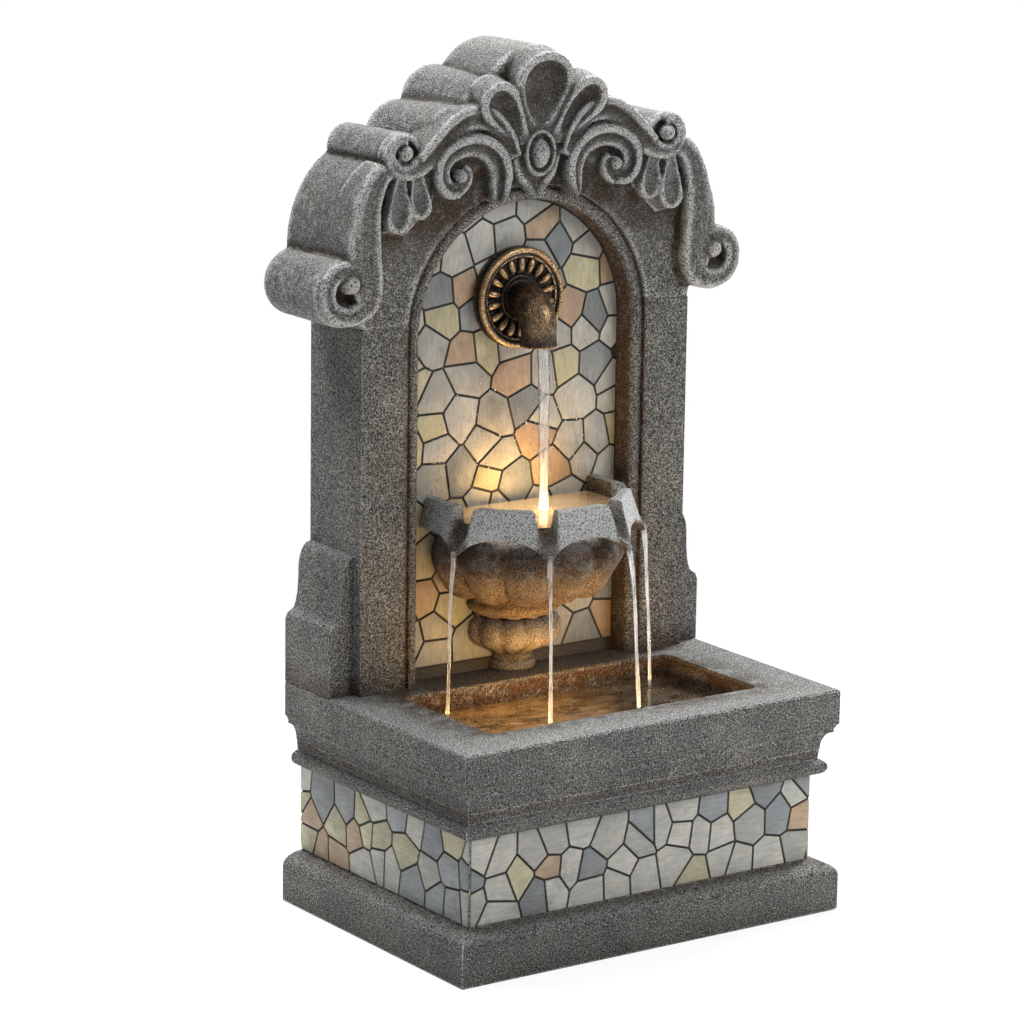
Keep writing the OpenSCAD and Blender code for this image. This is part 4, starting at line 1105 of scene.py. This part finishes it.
def mosaic_paint(name, streak):
    """Hand-painted stones: one colour for each, brush streaks and darker rims."""
    look = bpy.context.scene.fountain_mosaic
    p = Paint(name)
    tone = p.attribute("tone")
    shades = (
        (0.0, look.grey, 1.0), (0.22, look.grey, 0.82), (0.40, look.grey, 1.12), (0.52, look.cream, 1.0),
        (0.64, look.cream, 0.85), (0.70, look.tan, 1.0), (0.82, look.tan, 1.15), (0.86, look.slate, 1.0),
        (0.95, look.slate, 0.75),
    )
    colour = p.ramp(tone, [(place, shade(stone, share)) for place, stone, share in shades], "CONSTANT")
    shift = p.node("CombineXYZ", {0: tone, 1: tone, 2: tone}).outputs[0]
    at = p.node("VectorMath", {0: p.place, 1: shift}, operation="ADD").outputs[0]
    brush = p.noise(1.0, 5, 0.7, stretch=streak, at=at)
    colour = p.tinted(p.span(brush, 0.40, 0.62, 0.0, 0.55), colour, (0.62, 0.62, 0.62))
    colour = p.tinted(p.span(p.noise(45, at=at), 0.45, 0.70, 0.0, 0.8), colour, (1.35, 1.33, 1.28))
    dirt = p.times(p.span(p.noise(26, 4, 0.7), 0.56, 0.74), 0.5)
    colour = p.mix(dirt, colour, (0.05, 0.045, 0.038))
    specks = p.times(p.span(p.noise(800, 2), 0.28, 0.34, 1.0, 0.0), 0.5)
    colour = p.mix(specks, colour, (0.05, 0.045, 0.04))
    colour = p.mix(p.times(p.attribute("edge"), 0.62), colour, look.grout)
    rough = p.span(brush, 0.3, 0.7, 0.45, 0.7)
    return p.surface(Base_Color=colour, Roughness=rough, Normal=p.bump(brush, 0.25, 0.5 * MM))


def lay_stones(node, name, material, rng):
    """The stones of one mosaic field, each with a tone of its own."""
    obj = flatten_faces(cad_copy(node, name))
    groups = stone_groups(obj)
    tones = np.array([rng.random() for _ in range(groups.max() + 1)])
    set_attribute(obj, "tone", tones[groups])
    round_edges(obj, 0.55 * MM)
    smooth(obj, 30)
    return give(obj, "mosaic_stone", material, nodes=[node])


class FOUNTAIN_OT_mosaic(bpy.types.Operator):
    """The mosaic stones, each with its own colour and softened edges"""

    bl_idname = "fountain.mosaic"
    bl_label = "Mosaic"

    def execute(self, context):
        rng = random.Random(STONES_SEED)
        upright = mosaic_paint("niche_stone_paint", (420, 420, 70))
        level = mosaic_paint("band_stone_paint", (70, 70, 460))
        lay_stones("niche_mosaic", "niche_stones", upright, rng)
        for side in ("front", "left", "right"):
            lay_stones(f"band_mosaic_{side}", f"band_stones_{side}", level, rng)
        return {"FINISHED"}


# ---------------------------------------------------------------- spout
def bronze_paint(name, gold_of):
    """Near black patina, with copper and gold where the metal is rubbed and, on the spout, where a highlight is
    painted.
    """
    p = Paint(name)
    grain = p.noise(950, 4, 0.75)
    dark = p.ramp(p.noise(120), [(0.3, (0.006, 0.007, 0.009)), (0.7, (0.022, 0.014, 0.009))])
    metal = [(0.36, (0.03, 0.016, 0.008)), (0.5, (0.24, 0.13, 0.055)), (0.66, (0.74, 0.56, 0.33))]
    rubbed = p.ramp(grain, metal)
    colour = p.mix(p.times(gold_of(p), p.span(grain, 0.36, 0.52)), dark, rubbed)
    rough = p.span(grain, 0.3, 0.7, 0.28, 0.5)
    return p.surface(Base_Color=colour, Metallic=0.75, Roughness=rough, Normal=p.bump(grain, 0.35, 0.35 * MM))


# Half section of the rosette's turned disc, dished in the middle: radius and height over the stones
DISC = [
    (0, 0), (47, 0), (47.6, 4), (46.8, 9), (44.5, 12), (42, 11.6), (40.5, 9.5), (39, 8.0), (24, 5.6),
    (20.5, 5.4), (18, 8.5), (12, 10), (0, 10),
]
PETALS = 18


def turned_disc():
    """The rosette's disc, spun round the spout's axis."""
    disc = to_mesh(drawn([(r, STONES_Y - h, SPOUT_Z, 1) for r, h in DISC]), "disc")
    round_y = {"steps": 96, "angle": 2 * math.pi, "center": (0, 0, SPOUT_Z * MM), "axis": (0, 1, 0)}
    edit(disc, lambda: bpy.ops.mesh.spin(**round_y))
    return outwards(edit(disc, lambda: bpy.ops.mesh.remove_doubles(threshold=1e-5)))


def disc_ring(r, height, thick):
    """A ring on the disc, at a height over the stones."""
    bpy.ops.mesh.primitive_torus_add(
        major_segments=96,
        minor_segments=20,
        major_radius=r * MM,
        minor_radius=thick * MM,
        location=(0, (STONES_Y - height) * MM, SPOUT_Z * MM),
        rotation=(math.pi / 2, 0, 0),
    )
    return settle(bpy.context.object, "ring")


def petal(turn):
    """A petal on the disc, wider at its outer end."""
    bpy.ops.mesh.primitive_uv_sphere_add(segments=24, ring_count=14, radius=MM, location=(0, 0, 0))
    obj = bpy.context.object
    for v in obj.data.vertices:
        widen = 0.72 + 0.28 * (v.co.z / MM)
        v.co = Vector((v.co.x * 4.2 * widen, v.co.y * 4.2, v.co.z * 7.6))
    middle = Matrix.Translation((0, (STONES_Y - 9.0) * MM, SPOUT_Z * MM))
    obj.matrix_world = middle @ Matrix.Rotation(turn, 4, "Y") @ Matrix.Translation((0, 0, 30.4 * MM))
    return settle(obj, "petal")


def rubbed_disc(p):
    """Bright metal on the rosette's proud edges, outside its middle."""
    reach = p.distance(p.x, p.less(p.z, SPOUT_Z * MM))
    return p.times(p.span(p.attribute("relief"), -0.08, -0.34), p.span(reach, 0.0215, 0.0235))


def rubbed_and_highlit_pipe(p):
    """Bright metal on the spout's edges, and a painted highlight on the top of its bend."""
    # The top front of the bend: a painted highlight in gold flecks.
    front = p.times(p.span(p.y, 0.068, 0.040), p.span(p.z, 0.520, 0.556))
    loose = p.span(p.noise(90), 0.30, 0.6)
    return p.most(p.times(front, loose), p.span(p.attribute("relief"), -0.1, -0.5))


def patinate(obj, name, gold_of, node):
    """Marks the relief of a bronze piece and gives it its patina."""
    mark_relief(obj, 6, 24, 0.5 * MM)
    smooth(obj)
    give(obj, "aged_bronze", bronze_paint(name, gold_of), nodes=[node])


class FOUNTAIN_OT_spout(bpy.types.Operator):
    """The bronze rosette with its petals, and the hooded spout"""

    bl_idname = "fountain.spout"
    bl_label = "Spout"

    def execute(self, context):
        parts = [turned_disc(), disc_ring(44, 10.5, 3.2), disc_ring(39, 9.8, 1.5), disc_ring(19.5, 7.6, 2.4)]
        parts += [petal(2 * math.pi * k / PETALS) for k in range(PETALS)]
        rosette = refined(join(parts, "spout_rosette_cast"), 0.7 * MM, 2)
        roughen(rosette, 0.25 * MM, 0.004)
        thin_out(rosette, 120_000)
        patinate(rosette, "rosette_bronze", rubbed_disc, "spout_rosette")
        # Hooded spout: a fat bend that turns down, with a thin lip
        start = STONES_Y - 8
        path = [(0, start, SPOUT_Z - 1, 16.2), (0, start - 6, SPOUT_Z - 1, 16.4)]
        for t in np.linspace(0.15, math.pi / 2, 12):
            y, z = start - 6 - 25 * math.sin(t), SPOUT_Z - 26 + 25 * math.cos(t)
            path.append((0, y, z, 16.6 + 0.8 * math.sin(2 * t)))
        end = path[-1][1]
        path += [(0, end, SPOUT_Z - drop, r) for drop, r in ((28, 16.4), (34, 16.6), (39, 17.2), (41, 17.6))]
        pipe = tube(path, "spout_pipe", 40)
        hole = [(0, end, SPOUT_Z - 43, 13.2), (0, end, SPOUT_Z - 18, 13.0), (0, end + 3, SPOUT_Z - 14, 9.0)]
        combine(pipe, tube(hole, "hole", 40))
        thin_out(refined(pipe, 0.8 * MM, 2), 60_000)
        patinate(pipe, "spout_bronze", rubbed_and_highlit_pipe, "spout_elbow")
        return {"FINISHED"}


# ---------------------------------------------------------------- inner parts
def moulded(name, colour, rough, scale=900, depth=0.15, **sockets):
    """Moulded plastic or rubber with a fine texture."""
    p = Paint(name)
    grain = p.noise(scale)
    tint = p.mix(p.span(p.noise(40), 0.3, 0.7), shade(colour, 0.8), shade(colour, 1.2))
    spread = p.span(grain, 0.3, 0.7, max(0.05, rough - 0.08), min(1.0, rough + 0.08))
    return p.surface(Base_Color=tint, Roughness=spread, Normal=p.bump(grain, depth, 0.3 * MM), **sockets)


def steel(name):
    """Brushed steel."""
    p = Paint(name)
    brush = p.noise(1.0, 4, 0.7, stretch=(1500, 1500, 90))
    colour = p.mix(p.span(brush, 0.3, 0.7), (0.42, 0.42, 0.41), (0.6, 0.6, 0.58))
    return p.surface(Base_Color=colour, Metallic=1.0, Roughness=p.span(brush, 0.3, 0.7, 0.25, 0.45))


class FOUNTAIN_OT_inner_parts(bpy.types.Operator):
    """Finishes of the pump, hose, leads, bolts, door and gland"""

    bl_idname = "fountain.inner_parts"
    bl_label = "Inner parts"

    def execute(self, context):
        black = moulded("pump_black", (0.02, 0.022, 0.025), 0.5)
        rubber = moulded("rubber_black", (0.018, 0.018, 0.018), 0.8, 1400, 0.25)
        pale = moulded("impeller_white", (0.75, 0.74, 0.70), 0.4)
        grey = moulded("slide_grey", (0.16, 0.17, 0.18), 0.5)
        lamp = moulded("lamp_black", (0.03, 0.03, 0.03), 0.4)
        lead = moulded("lead_black", (0.012, 0.012, 0.012), 0.45, 1600, 0.1)
        door = moulded("door_grey", (0.13, 0.125, 0.12), 0.65, 500, 0.3)
        hose = moulded("hose_clear", (0.52, 0.55, 0.55), 0.25, 300, 0.05, Transmission_Weight=0.45)
        ceramic = moulded("shaft_ceramic_white", (0.85, 0.84, 0.80), 0.12, 600, 0.02)
        bolt = steel("bolt_steel_brushed")
        finishes = {
            black: ["pump_housing", "pump_volute_cover", "pump_intake_cover", "spout_nut", "hose_elbow"],
            rubber: ["pump_feet", "spout_washer", "bowl_bolt_washers", "cable_grommet"],
            pale: ["pump_impeller"],
            grey: ["pump_flow_slide"],
            lamp: ["bowl_lamp", "basin_lamp", "lead_junction"],
            lead: ["pump_lead", "bowl_lamp_lead", "basin_lamp_lead"],
            door: ["rear_door"],
            hose: ["hose"],
            ceramic: ["pump_shaft"],
            bolt: ["joining_bolts", "bowl_bolts", "hose_clips", "door_screws"],
        }
        for material, nodes in finishes.items():
            for node in nodes:
                paint_node(node, material)
        return {"FINISHED"}


# ---------------------------------------------------------------- lamps and water
def glowing(name, colour, strength):
    """Frosted lens with its light behind it."""
    p = Paint(name)
    base = p.mix(p.span(p.noise(250, 2, 0.5), 0.3, 0.7), (0.95, 0.9, 0.75), (1.0, 0.97, 0.9))
    return p.surface(Base_Color=base, Roughness=0.3, Emission_Color=colour, Emission_Strength=strength)


def water_paint(name, tint, cloudy, ripple, rough, streak=(60, 60, 60), lit=(0.9, 0.92, 0.95), glow=None):
    """Water that lets through what is behind it, gleams at a slant and catches some of the light inside it.

    glow holds a place, two distances from it, and how strongly the water shines at each: painted lamplight that
    the water itself emits.
    """
    p = Paint(name)
    gleam, slant = {"Color": rgba(1.0), "Roughness": rough}, {"IOR": 1.33}
    if ripple:
        gleam["Normal"] = slant["Normal"] = p.bump(p.noise(130, 3, 0.5), ripple, 1.2 * MM)
    see = p.shader("BsdfTransparent", {"Color": rgba(tint)})
    through, back = {"Color": rgba(lit)}, {"Color": rgba(shade(lit, 0.4))}
    milk = p.shader("AddShader", {0: p.shader("BsdfTranslucent", through), 1: p.shader("BsdfDiffuse", back)})
    share = p.span(p.noise(1.0, 4, 0.65, stretch=streak), 0.36, 0.68, cloudy * 0.3, cloudy * 1.9)
    body = p.shader("MixShader", {0: share, 1: see, 2: milk})
    # Painted lamplight: the water emits light of its own round the lamp.
    if glow:
        place, near, far, strong, weak = glow
        away = p.node("VectorMath", {0: p.place, 1: place}, operation="DISTANCE").outputs["Value"]
        painted_lamplight = {"Color": rgba((1.0, 0.66, 0.33)), "Strength": p.span(away, near, far, strong, weak)}
        body = p.shader("AddShader", {0: body, 1: p.shader("Emission", painted_lamplight)})
    done = {0: p.shader("Fresnel", slant), 1: body, 2: p.shader("BsdfGlossy", gleam)}
    return p.end(p.shader("MixShader", done))


def pool_water(name, glow=None):
    """Still water, brown with the stone under it."""
    return water_paint(name, (0.84, 0.72, 0.54), 0.10, 0.5, 0.04, (55, 90, 60), (0.8, 0.66, 0.46), glow)


# The bowl's spill lips: angle from the front in degrees, and how far the stream is thrown
LIPS = [(-67.5, 8.0), (-22.5, 15.0), (22.5, 15.0), (67.5, 10.0)]
LIP_REACH, LIP_Z = 115.5, 348.5
# Where the water leaves the spout, and how far it is thrown
MOUTH_Y, MOUTH_Z, MOUTH_THROW = 41.5, 528.0, 6.0
# The bowl's water is cut to the first radius, and its edge drawn out to the second, inside the wall
BOWL_WATER_R, BOWL_WALL_R = 86.6, 89.2
# Spacing of the water's surface points, and its thickness
GRID, SHEET = 1.6, 2.0
# How many drops are tried on the niche, and the radii they may have
DROPS, DROP_SIZES = 420, (0.35, 0.5, 0.5, 0.7, 0.9)


def lip_stream(number, angle, throw, radius, end_z):
    """Path of the water that falls from a lip, thinner as it falls."""
    across, out = math.sin(math.radians(angle)), -math.cos(math.radians(angle))
    x, y = BOWL_AXIS[0] + LIP_REACH * across, BOWL_AXIS[1] + LIP_REACH * out
    path = []
    for t in (i / 44 for i in range(45)):
        z = LIP_Z - (LIP_Z - end_z) * (0.25 * t + 0.75 * t * t)
        swing = 0.35 * math.sin(9 * t + number * 2.1)
        r = radius * (1.0 - 0.45 * min(1.0, t * 2.2)) * (1 + 0.13 * math.sin(21 * t + number) * t)
        path.append((x + across * throw * t + swing, y + out * throw * t, z, r))
    return path


def spout_stream(end_z):
    """Path of the water that falls from the spout."""
    path = []
    for t in (i / 40 for i in range(41)):
        z = MOUTH_Z - (MOUTH_Z - end_z) * (0.35 * t + 0.65 * t * t)
        r = 6.4 - 2.0 * t + 0.25 * math.sin(19 * t)
        path.append((0.4 * math.sin(5 * t), MOUTH_Y - MOUTH_THROW * t, z, r))
    return path


def rings(x, y, spots, wave, reach, height):
    """Height of ripples that spread from where the streams land."""
    total = 0.0
    for sx, sy, strong in spots:
        d = math.hypot(x - sx, y - sy)
        total += strong * math.cos(2 * math.pi * d / wave) * math.exp(-d / reach)
    return total * height


def in_trough(x, y):
    """True inside the trough's outline, whose corners are rounded."""
    to_corner = max(0, 9 - min(y - TROUGH[0][1], TROUGH[1][1] - y))
    return abs(x) < 149.6 - to_corner**2 / 20


def in_bowl(x, y):
    """True inside the bowl, in front of the niche's stones."""
    return math.hypot(x - BOWL_AXIS[0], y - BOWL_AXIS[1]) < BOWL_WATER_R and y < STONES_Y - 0.3


def water_sheet(name, low, high, level, keep, spots, wave, reach, height, round_to=None):
    """A sheet of water with ripples, closed below.

    keep says where there is water, and round_to draws its edge out to a radius about the bowl's axis.
    """
    (x0, y0), (x1, y1) = low, high
    nx, ny = int((x1 - x0) / GRID), int((y1 - y0) / GRID)
    bpy.ops.mesh.primitive_grid_add(x_subdivisions=nx, y_subdivisions=ny, size=1, location=(0, 0, 0))
    obj = settle(bpy.context.object, name)
    middle = Vector(((x0 + x1) / 2, (y0 + y1) / 2, level)) * MM
    obj.data.transform(Matrix.Translation(middle) @ Matrix.Diagonal(((x1 - x0) * MM, (y1 - y0) * MM, 1, 1)))
    sheet = bmesh.new()
    sheet.from_mesh(obj.data)
    dry = [v for v in sheet.verts if not keep(v.co.x / MM, v.co.y / MM)]
    bmesh.ops.delete(sheet, geom=dry, context="VERTS")
    wall = max(v.co.y for v in sheet.verts) - 0.3 * MM
    for v in sheet.verts if round_to else ():
        out = v.co - Vector((BOWL_AXIS[0], BOWL_AXIS[1], level)) * MM
        if v.is_boundary and v.co.y < wall:
            v.co += out * (round_to * MM / out.length - 1)
    sheet.to_mesh(obj.data)
    sheet.free()
    for v in obj.data.vertices:
        v.co.z += rings(v.co.x / MM, v.co.y / MM, spots, wave, reach, height) * MM
    modify(obj, "SOLIDIFY", thickness=SHEET * MM, offset=-1)
    return smooth(obj, 60)


# How bright each lens looks
LENSES = {"bowl_lamp_lens": 30.0, "basin_lamp_lens": 20.0}


class FOUNTAIN_OT_lamps(bpy.types.Operator):
    """The lit lenses of the two lamps"""

    bl_idname = "fountain.lamps"
    bl_label = "Lamps"

    def execute(self, context):
        glow = tuple(context.scene.fountain_water.glow)
        for node, strength in LENSES.items():
            paint_node(node, glowing(f"{node}_lit", glow, strength))
        return {"FINISHED"}


class FOUNTAIN_OT_water(bpy.types.Operator):
    """Water in the basin and the bowl, the falling streams, and drops on the niche"""

    bl_idname = "fountain.water"
    bl_label = "Water"

    def execute(self, context):
        look = context.scene.fountain_water
        still = pool_water("still_water")
        running = water_paint("running_water", (0.95, 0.96, 0.97), 0.20, 0.5, 0.06, (420, 420, 45))
        basin_z, bowl_z = look.basin_level / MM, look.bowl_level / MM
        falls, spots = [], []
        for number, (angle, throw) in enumerate(LIPS):
            path = lip_stream(number, angle, throw, look.stream / MM, basin_z - 1.0)
            falls.append(tube(path, f"stream_{number + 1}", 14))
            spots.append((path[-1][0], path[-1][1], 1.0))
        falls.append(tube(spout_stream(bowl_z - 1.0), "stream_spout", 18))
        for obj in falls:
            give(smooth(obj), None, running)
        low, high = [(x + gap, y + gap) for (x, y), gap in zip(TROUGH, (0.4, -0.4))]
        give(water_sheet("basin_water", low, high, basin_z, in_trough, spots, 9.0, 16.0, 0.4), None, still)
        low, high = (-BOWL_WATER_R, -16.6), (BOWL_WATER_R, 87.0)
        spots = [(0, MOUTH_Y - MOUTH_THROW, 1.2)]
        bowl = water_sheet("bowl_water", low, high, bowl_z, in_bowl, spots, 8.0, 18.0, 0.35, BOWL_WALL_R)
        # The bowl's water emits painted lamplight round the lamp under it.
        give(bowl, None, pool_water("bowl_water", ((0, 0.03, bowl_z * MM), 0.012, 0.085, 0.8, 0.16)))
        self.drops(context)
        return {"FINISHED"}

    def drops(self, context):
        """Drops on the stones of the niche, in one mesh."""
        rng = random.Random(DROPS_SEED)
        bpy.ops.mesh.primitive_ico_sphere_add(subdivisions=2, radius=MM, location=(0, 0, 0))
        ball = bpy.context.object
        shape = [v.co.copy() for v in ball.data.vertices]
        faces = [tuple(f.vertices) for f in ball.data.polygons]
        bpy.data.objects.remove(ball)
        verts, polys = [], []
        for _ in range(DROPS):
            x = rng.uniform(-105, 95)
            z = 385 + abs(rng.gauss(0, 60))
            if z > 530 or math.hypot(x, max(0.0, z - ARCH_Z)) > 114:
                continue
            size = rng.choice(DROP_SIZES)
            polys += [tuple(len(verts) + i for i in f) for f in faces]
            for c in shape:
                y = (STONES_Y - 0.1) * MM + c.y * size * 0.75
                verts.append((x * MM + c.x * size, y, z * MM + c.z * size * 1.15))
        mesh = bpy.data.meshes.new("niche_drops")
        mesh.from_pydata(verts, [], polys)
        obj = bpy.data.objects.new("niche_drops", mesh)
        context.scene.collection.objects.link(obj)
        give(smooth(obj), None, water_paint("drop_water", (0.92, 0.94, 0.96), 0.25, 0.0, 0.05))


# ---------------------------------------------------------------- stage
def floor_paint():
    """White to the camera, with a little of the shadow kept."""
    p = Paint("floor_white")
    lit = p.shader("BsdfDiffuse", {"Color": rgba(0.86)})
    plain = p.shader("Emission", {"Color": rgba(1.0), "Strength": 1.0})
    away = p.node("VectorMath", {0: p.place}, operation="LENGTH").outputs["Value"]
    share = p.times(p.seen(), p.span(away, 0.6, 1.2, 0.90, 1.0))
    return p.end(p.shader("MixShader", {0: share, 1: lit, 2: plain}))


def soft_light(name, place, aim, size, watts, colour=(1, 1, 1)):
    """A flat lamp that points at its aim."""
    data = bpy.data.lights.new(name, "AREA")
    data.shape, data.size, data.size_y = "RECTANGLE", size[0], size[1]
    data.energy, data.color = watts, colour
    obj = bpy.data.objects.new(name, data)
    bpy.context.scene.collection.objects.link(obj)
    obj.location = place
    obj.rotation_mode = "QUATERNION"
    obj.rotation_quaternion = (Vector(aim) - Vector(place)).to_track_quat("-Z", "Y")
    return obj


# The photograph's camera, from the straight edges of the castings: degrees round, up and rolled, the point
# that it looks at, its distance in metres, and its focal length in widths of the picture
CAMERA_ANGLES = (-34.94, 12.91, 0.82)
CAMERA_AIM, CAMERA_DISTANCE = (0.04395, 0.150, 0.34284), 4.01701
CAMERA_FOCUS = 4219.75 / 1024

# Name, place, aim, size and watts of the studio's lights
STUDIO = [
    ("key", (1.3, -2.2, 1.9), (0, 0, 0.4), (1.2, 1.2), 66),
    ("fill", (-2.2, -1.5, 1.3), (0, 0, 0.4), (1.4, 1.4), 2),
    ("top", (-0.35, 0.75, 2.6), (0, 0, 0.5), (1.6, 1.6), 156),
    ("edge", (1.9, 0.7, 1.7), (0, 0, 0.3), (0.9, 0.9), 125),
]
# Name, place, aim and size of the lights that stand for the two lamps, and their share of a lamp's watts
GLOWS = [
    ("bowl_light", (0, 0.045, 0.3735), (0, 0.045, 1.3735), (0.05, 0.03), "bowl_glow", 1.0),
    ("basin_light", (-0.06, -0.03, 0.078), (-0.06, -0.03, 1.078), (0.03, 0.03), "basin_glow", 0.2),
    ("basin_upward_light", (0, -0.03, 0.197), (0, -0.03, 1.197), (0.28, 0.13), "basin_glow", 0.2),
    ("sill_light", (0, -0.005, 0.2215), (0, 2.395, 1.2215), (0.14, 0.012), "basin_glow", 0.06),
]


class FOUNTAIN_OT_stage(bpy.types.Operator):
    """White floor, soft studio light and the camera"""

    bl_idname = "fountain.stage"
    bl_label = "Stage"

    def execute(self, context):
        scene = context.scene
        scene.view_settings.view_transform = "Standard"
        bpy.ops.mesh.primitive_plane_add(size=40, location=(0, 0, -0.0004))
        floor = settle(bpy.context.object, "floor")
        floor.data.materials.append(floor_paint())
        world = bpy.data.worlds.new("studio")
        world.use_nodes = True
        sky = Nodes(world.node_tree)
        soft = sky.shader("Background", {0: rgba((0.93, 0.96, 1.0)), 1: 0.235})
        white = sky.shader("Background", {1: 1.0})
        sky.node("OutputWorld", {0: sky.shader("MixShader", {0: sky.seen(), 1: soft, 2: white})})
        scene.world = world
        for name, place, aim, size, watts in STUDIO:
            soft_light(name, place, aim, size, watts)
        look = scene.fountain_water
        for name, place, aim, size, lamp, share in GLOWS:
            light = soft_light(name, place, aim, size, getattr(look, lamp) * share, tuple(look.glow))
            light.visible_camera = False
        cam = bpy.data.objects.new("camera", bpy.data.cameras.new("camera"))
        scene.collection.objects.link(cam)
        az, el, roll = map(math.radians, CAMERA_ANGLES)
        back = Vector((math.sin(az) * math.cos(el), -math.cos(az) * math.cos(el), math.sin(el)))
        right = (-back).cross(Vector((0, 0, 1))).normalized()
        up = right.cross(-back)
        cx = math.cos(roll) * right + math.sin(roll) * up
        cy = -math.sin(roll) * right + math.cos(roll) * up
        m = Matrix((cx, cy, back)).transposed().to_4x4()
        m.translation = Vector(CAMERA_AIM) + back * CAMERA_DISTANCE
        cam.matrix_world = m
        cam.data.sensor_width = 36
        cam.data.lens = 36 * CAMERA_FOCUS
        scene.camera = cam
        return {"FINISHED"}


# ---------------------------------------------------------------- panel and registration
STEPS = [
    FOUNTAIN_OT_castings,
    FOUNTAIN_OT_crest,
    FOUNTAIN_OT_mosaic,
    FOUNTAIN_OT_bowl,
    FOUNTAIN_OT_spout,
    FOUNTAIN_OT_inner_parts,
    FOUNTAIN_OT_lamps,
    FOUNTAIN_OT_water,
    FOUNTAIN_OT_stage,
]
GROUPS = {"fountain_stone": FountainStone, "fountain_mosaic": FountainMosaic, "fountain_water": FountainWater}


class FOUNTAIN_PT_looks(bpy.types.Panel):
    """Sizes, colours and steps of the fountain's looks"""

    bl_idname = "FOUNTAIN_PT_looks"
    bl_label = "Wall fountain"
    bl_space_type = "VIEW_3D"
    bl_region_type = "UI"
    bl_category = "Fountain"

    def draw(self, context):
        for group, kind in GROUPS.items():
            box = self.layout.box()
            for key in kind.__annotations__:
                box.prop(getattr(context.scene, group), key)
        for step in STEPS:
            self.layout.operator(step.bl_idname)


def register():
    for kind in [*GROUPS.values(), *STEPS, FOUNTAIN_PT_looks]:
        bpy.utils.register_class(kind)
    for name, kind in GROUPS.items():
        setattr(bpy.types.Scene, name, bpy.props.PointerProperty(type=kind))


def unregister():
    for name in GROUPS:
        delattr(bpy.types.Scene, name)
    for kind in reversed([*GROUPS.values(), *STEPS, FOUNTAIN_PT_looks]):
        bpy.utils.unregister_class(kind)


def main():
    register()
    for step in STEPS:
        group, name = step.bl_idname.split(".")
        getattr(getattr(bpy.ops, group), name)()


if __name__ == "__main__":
    main()
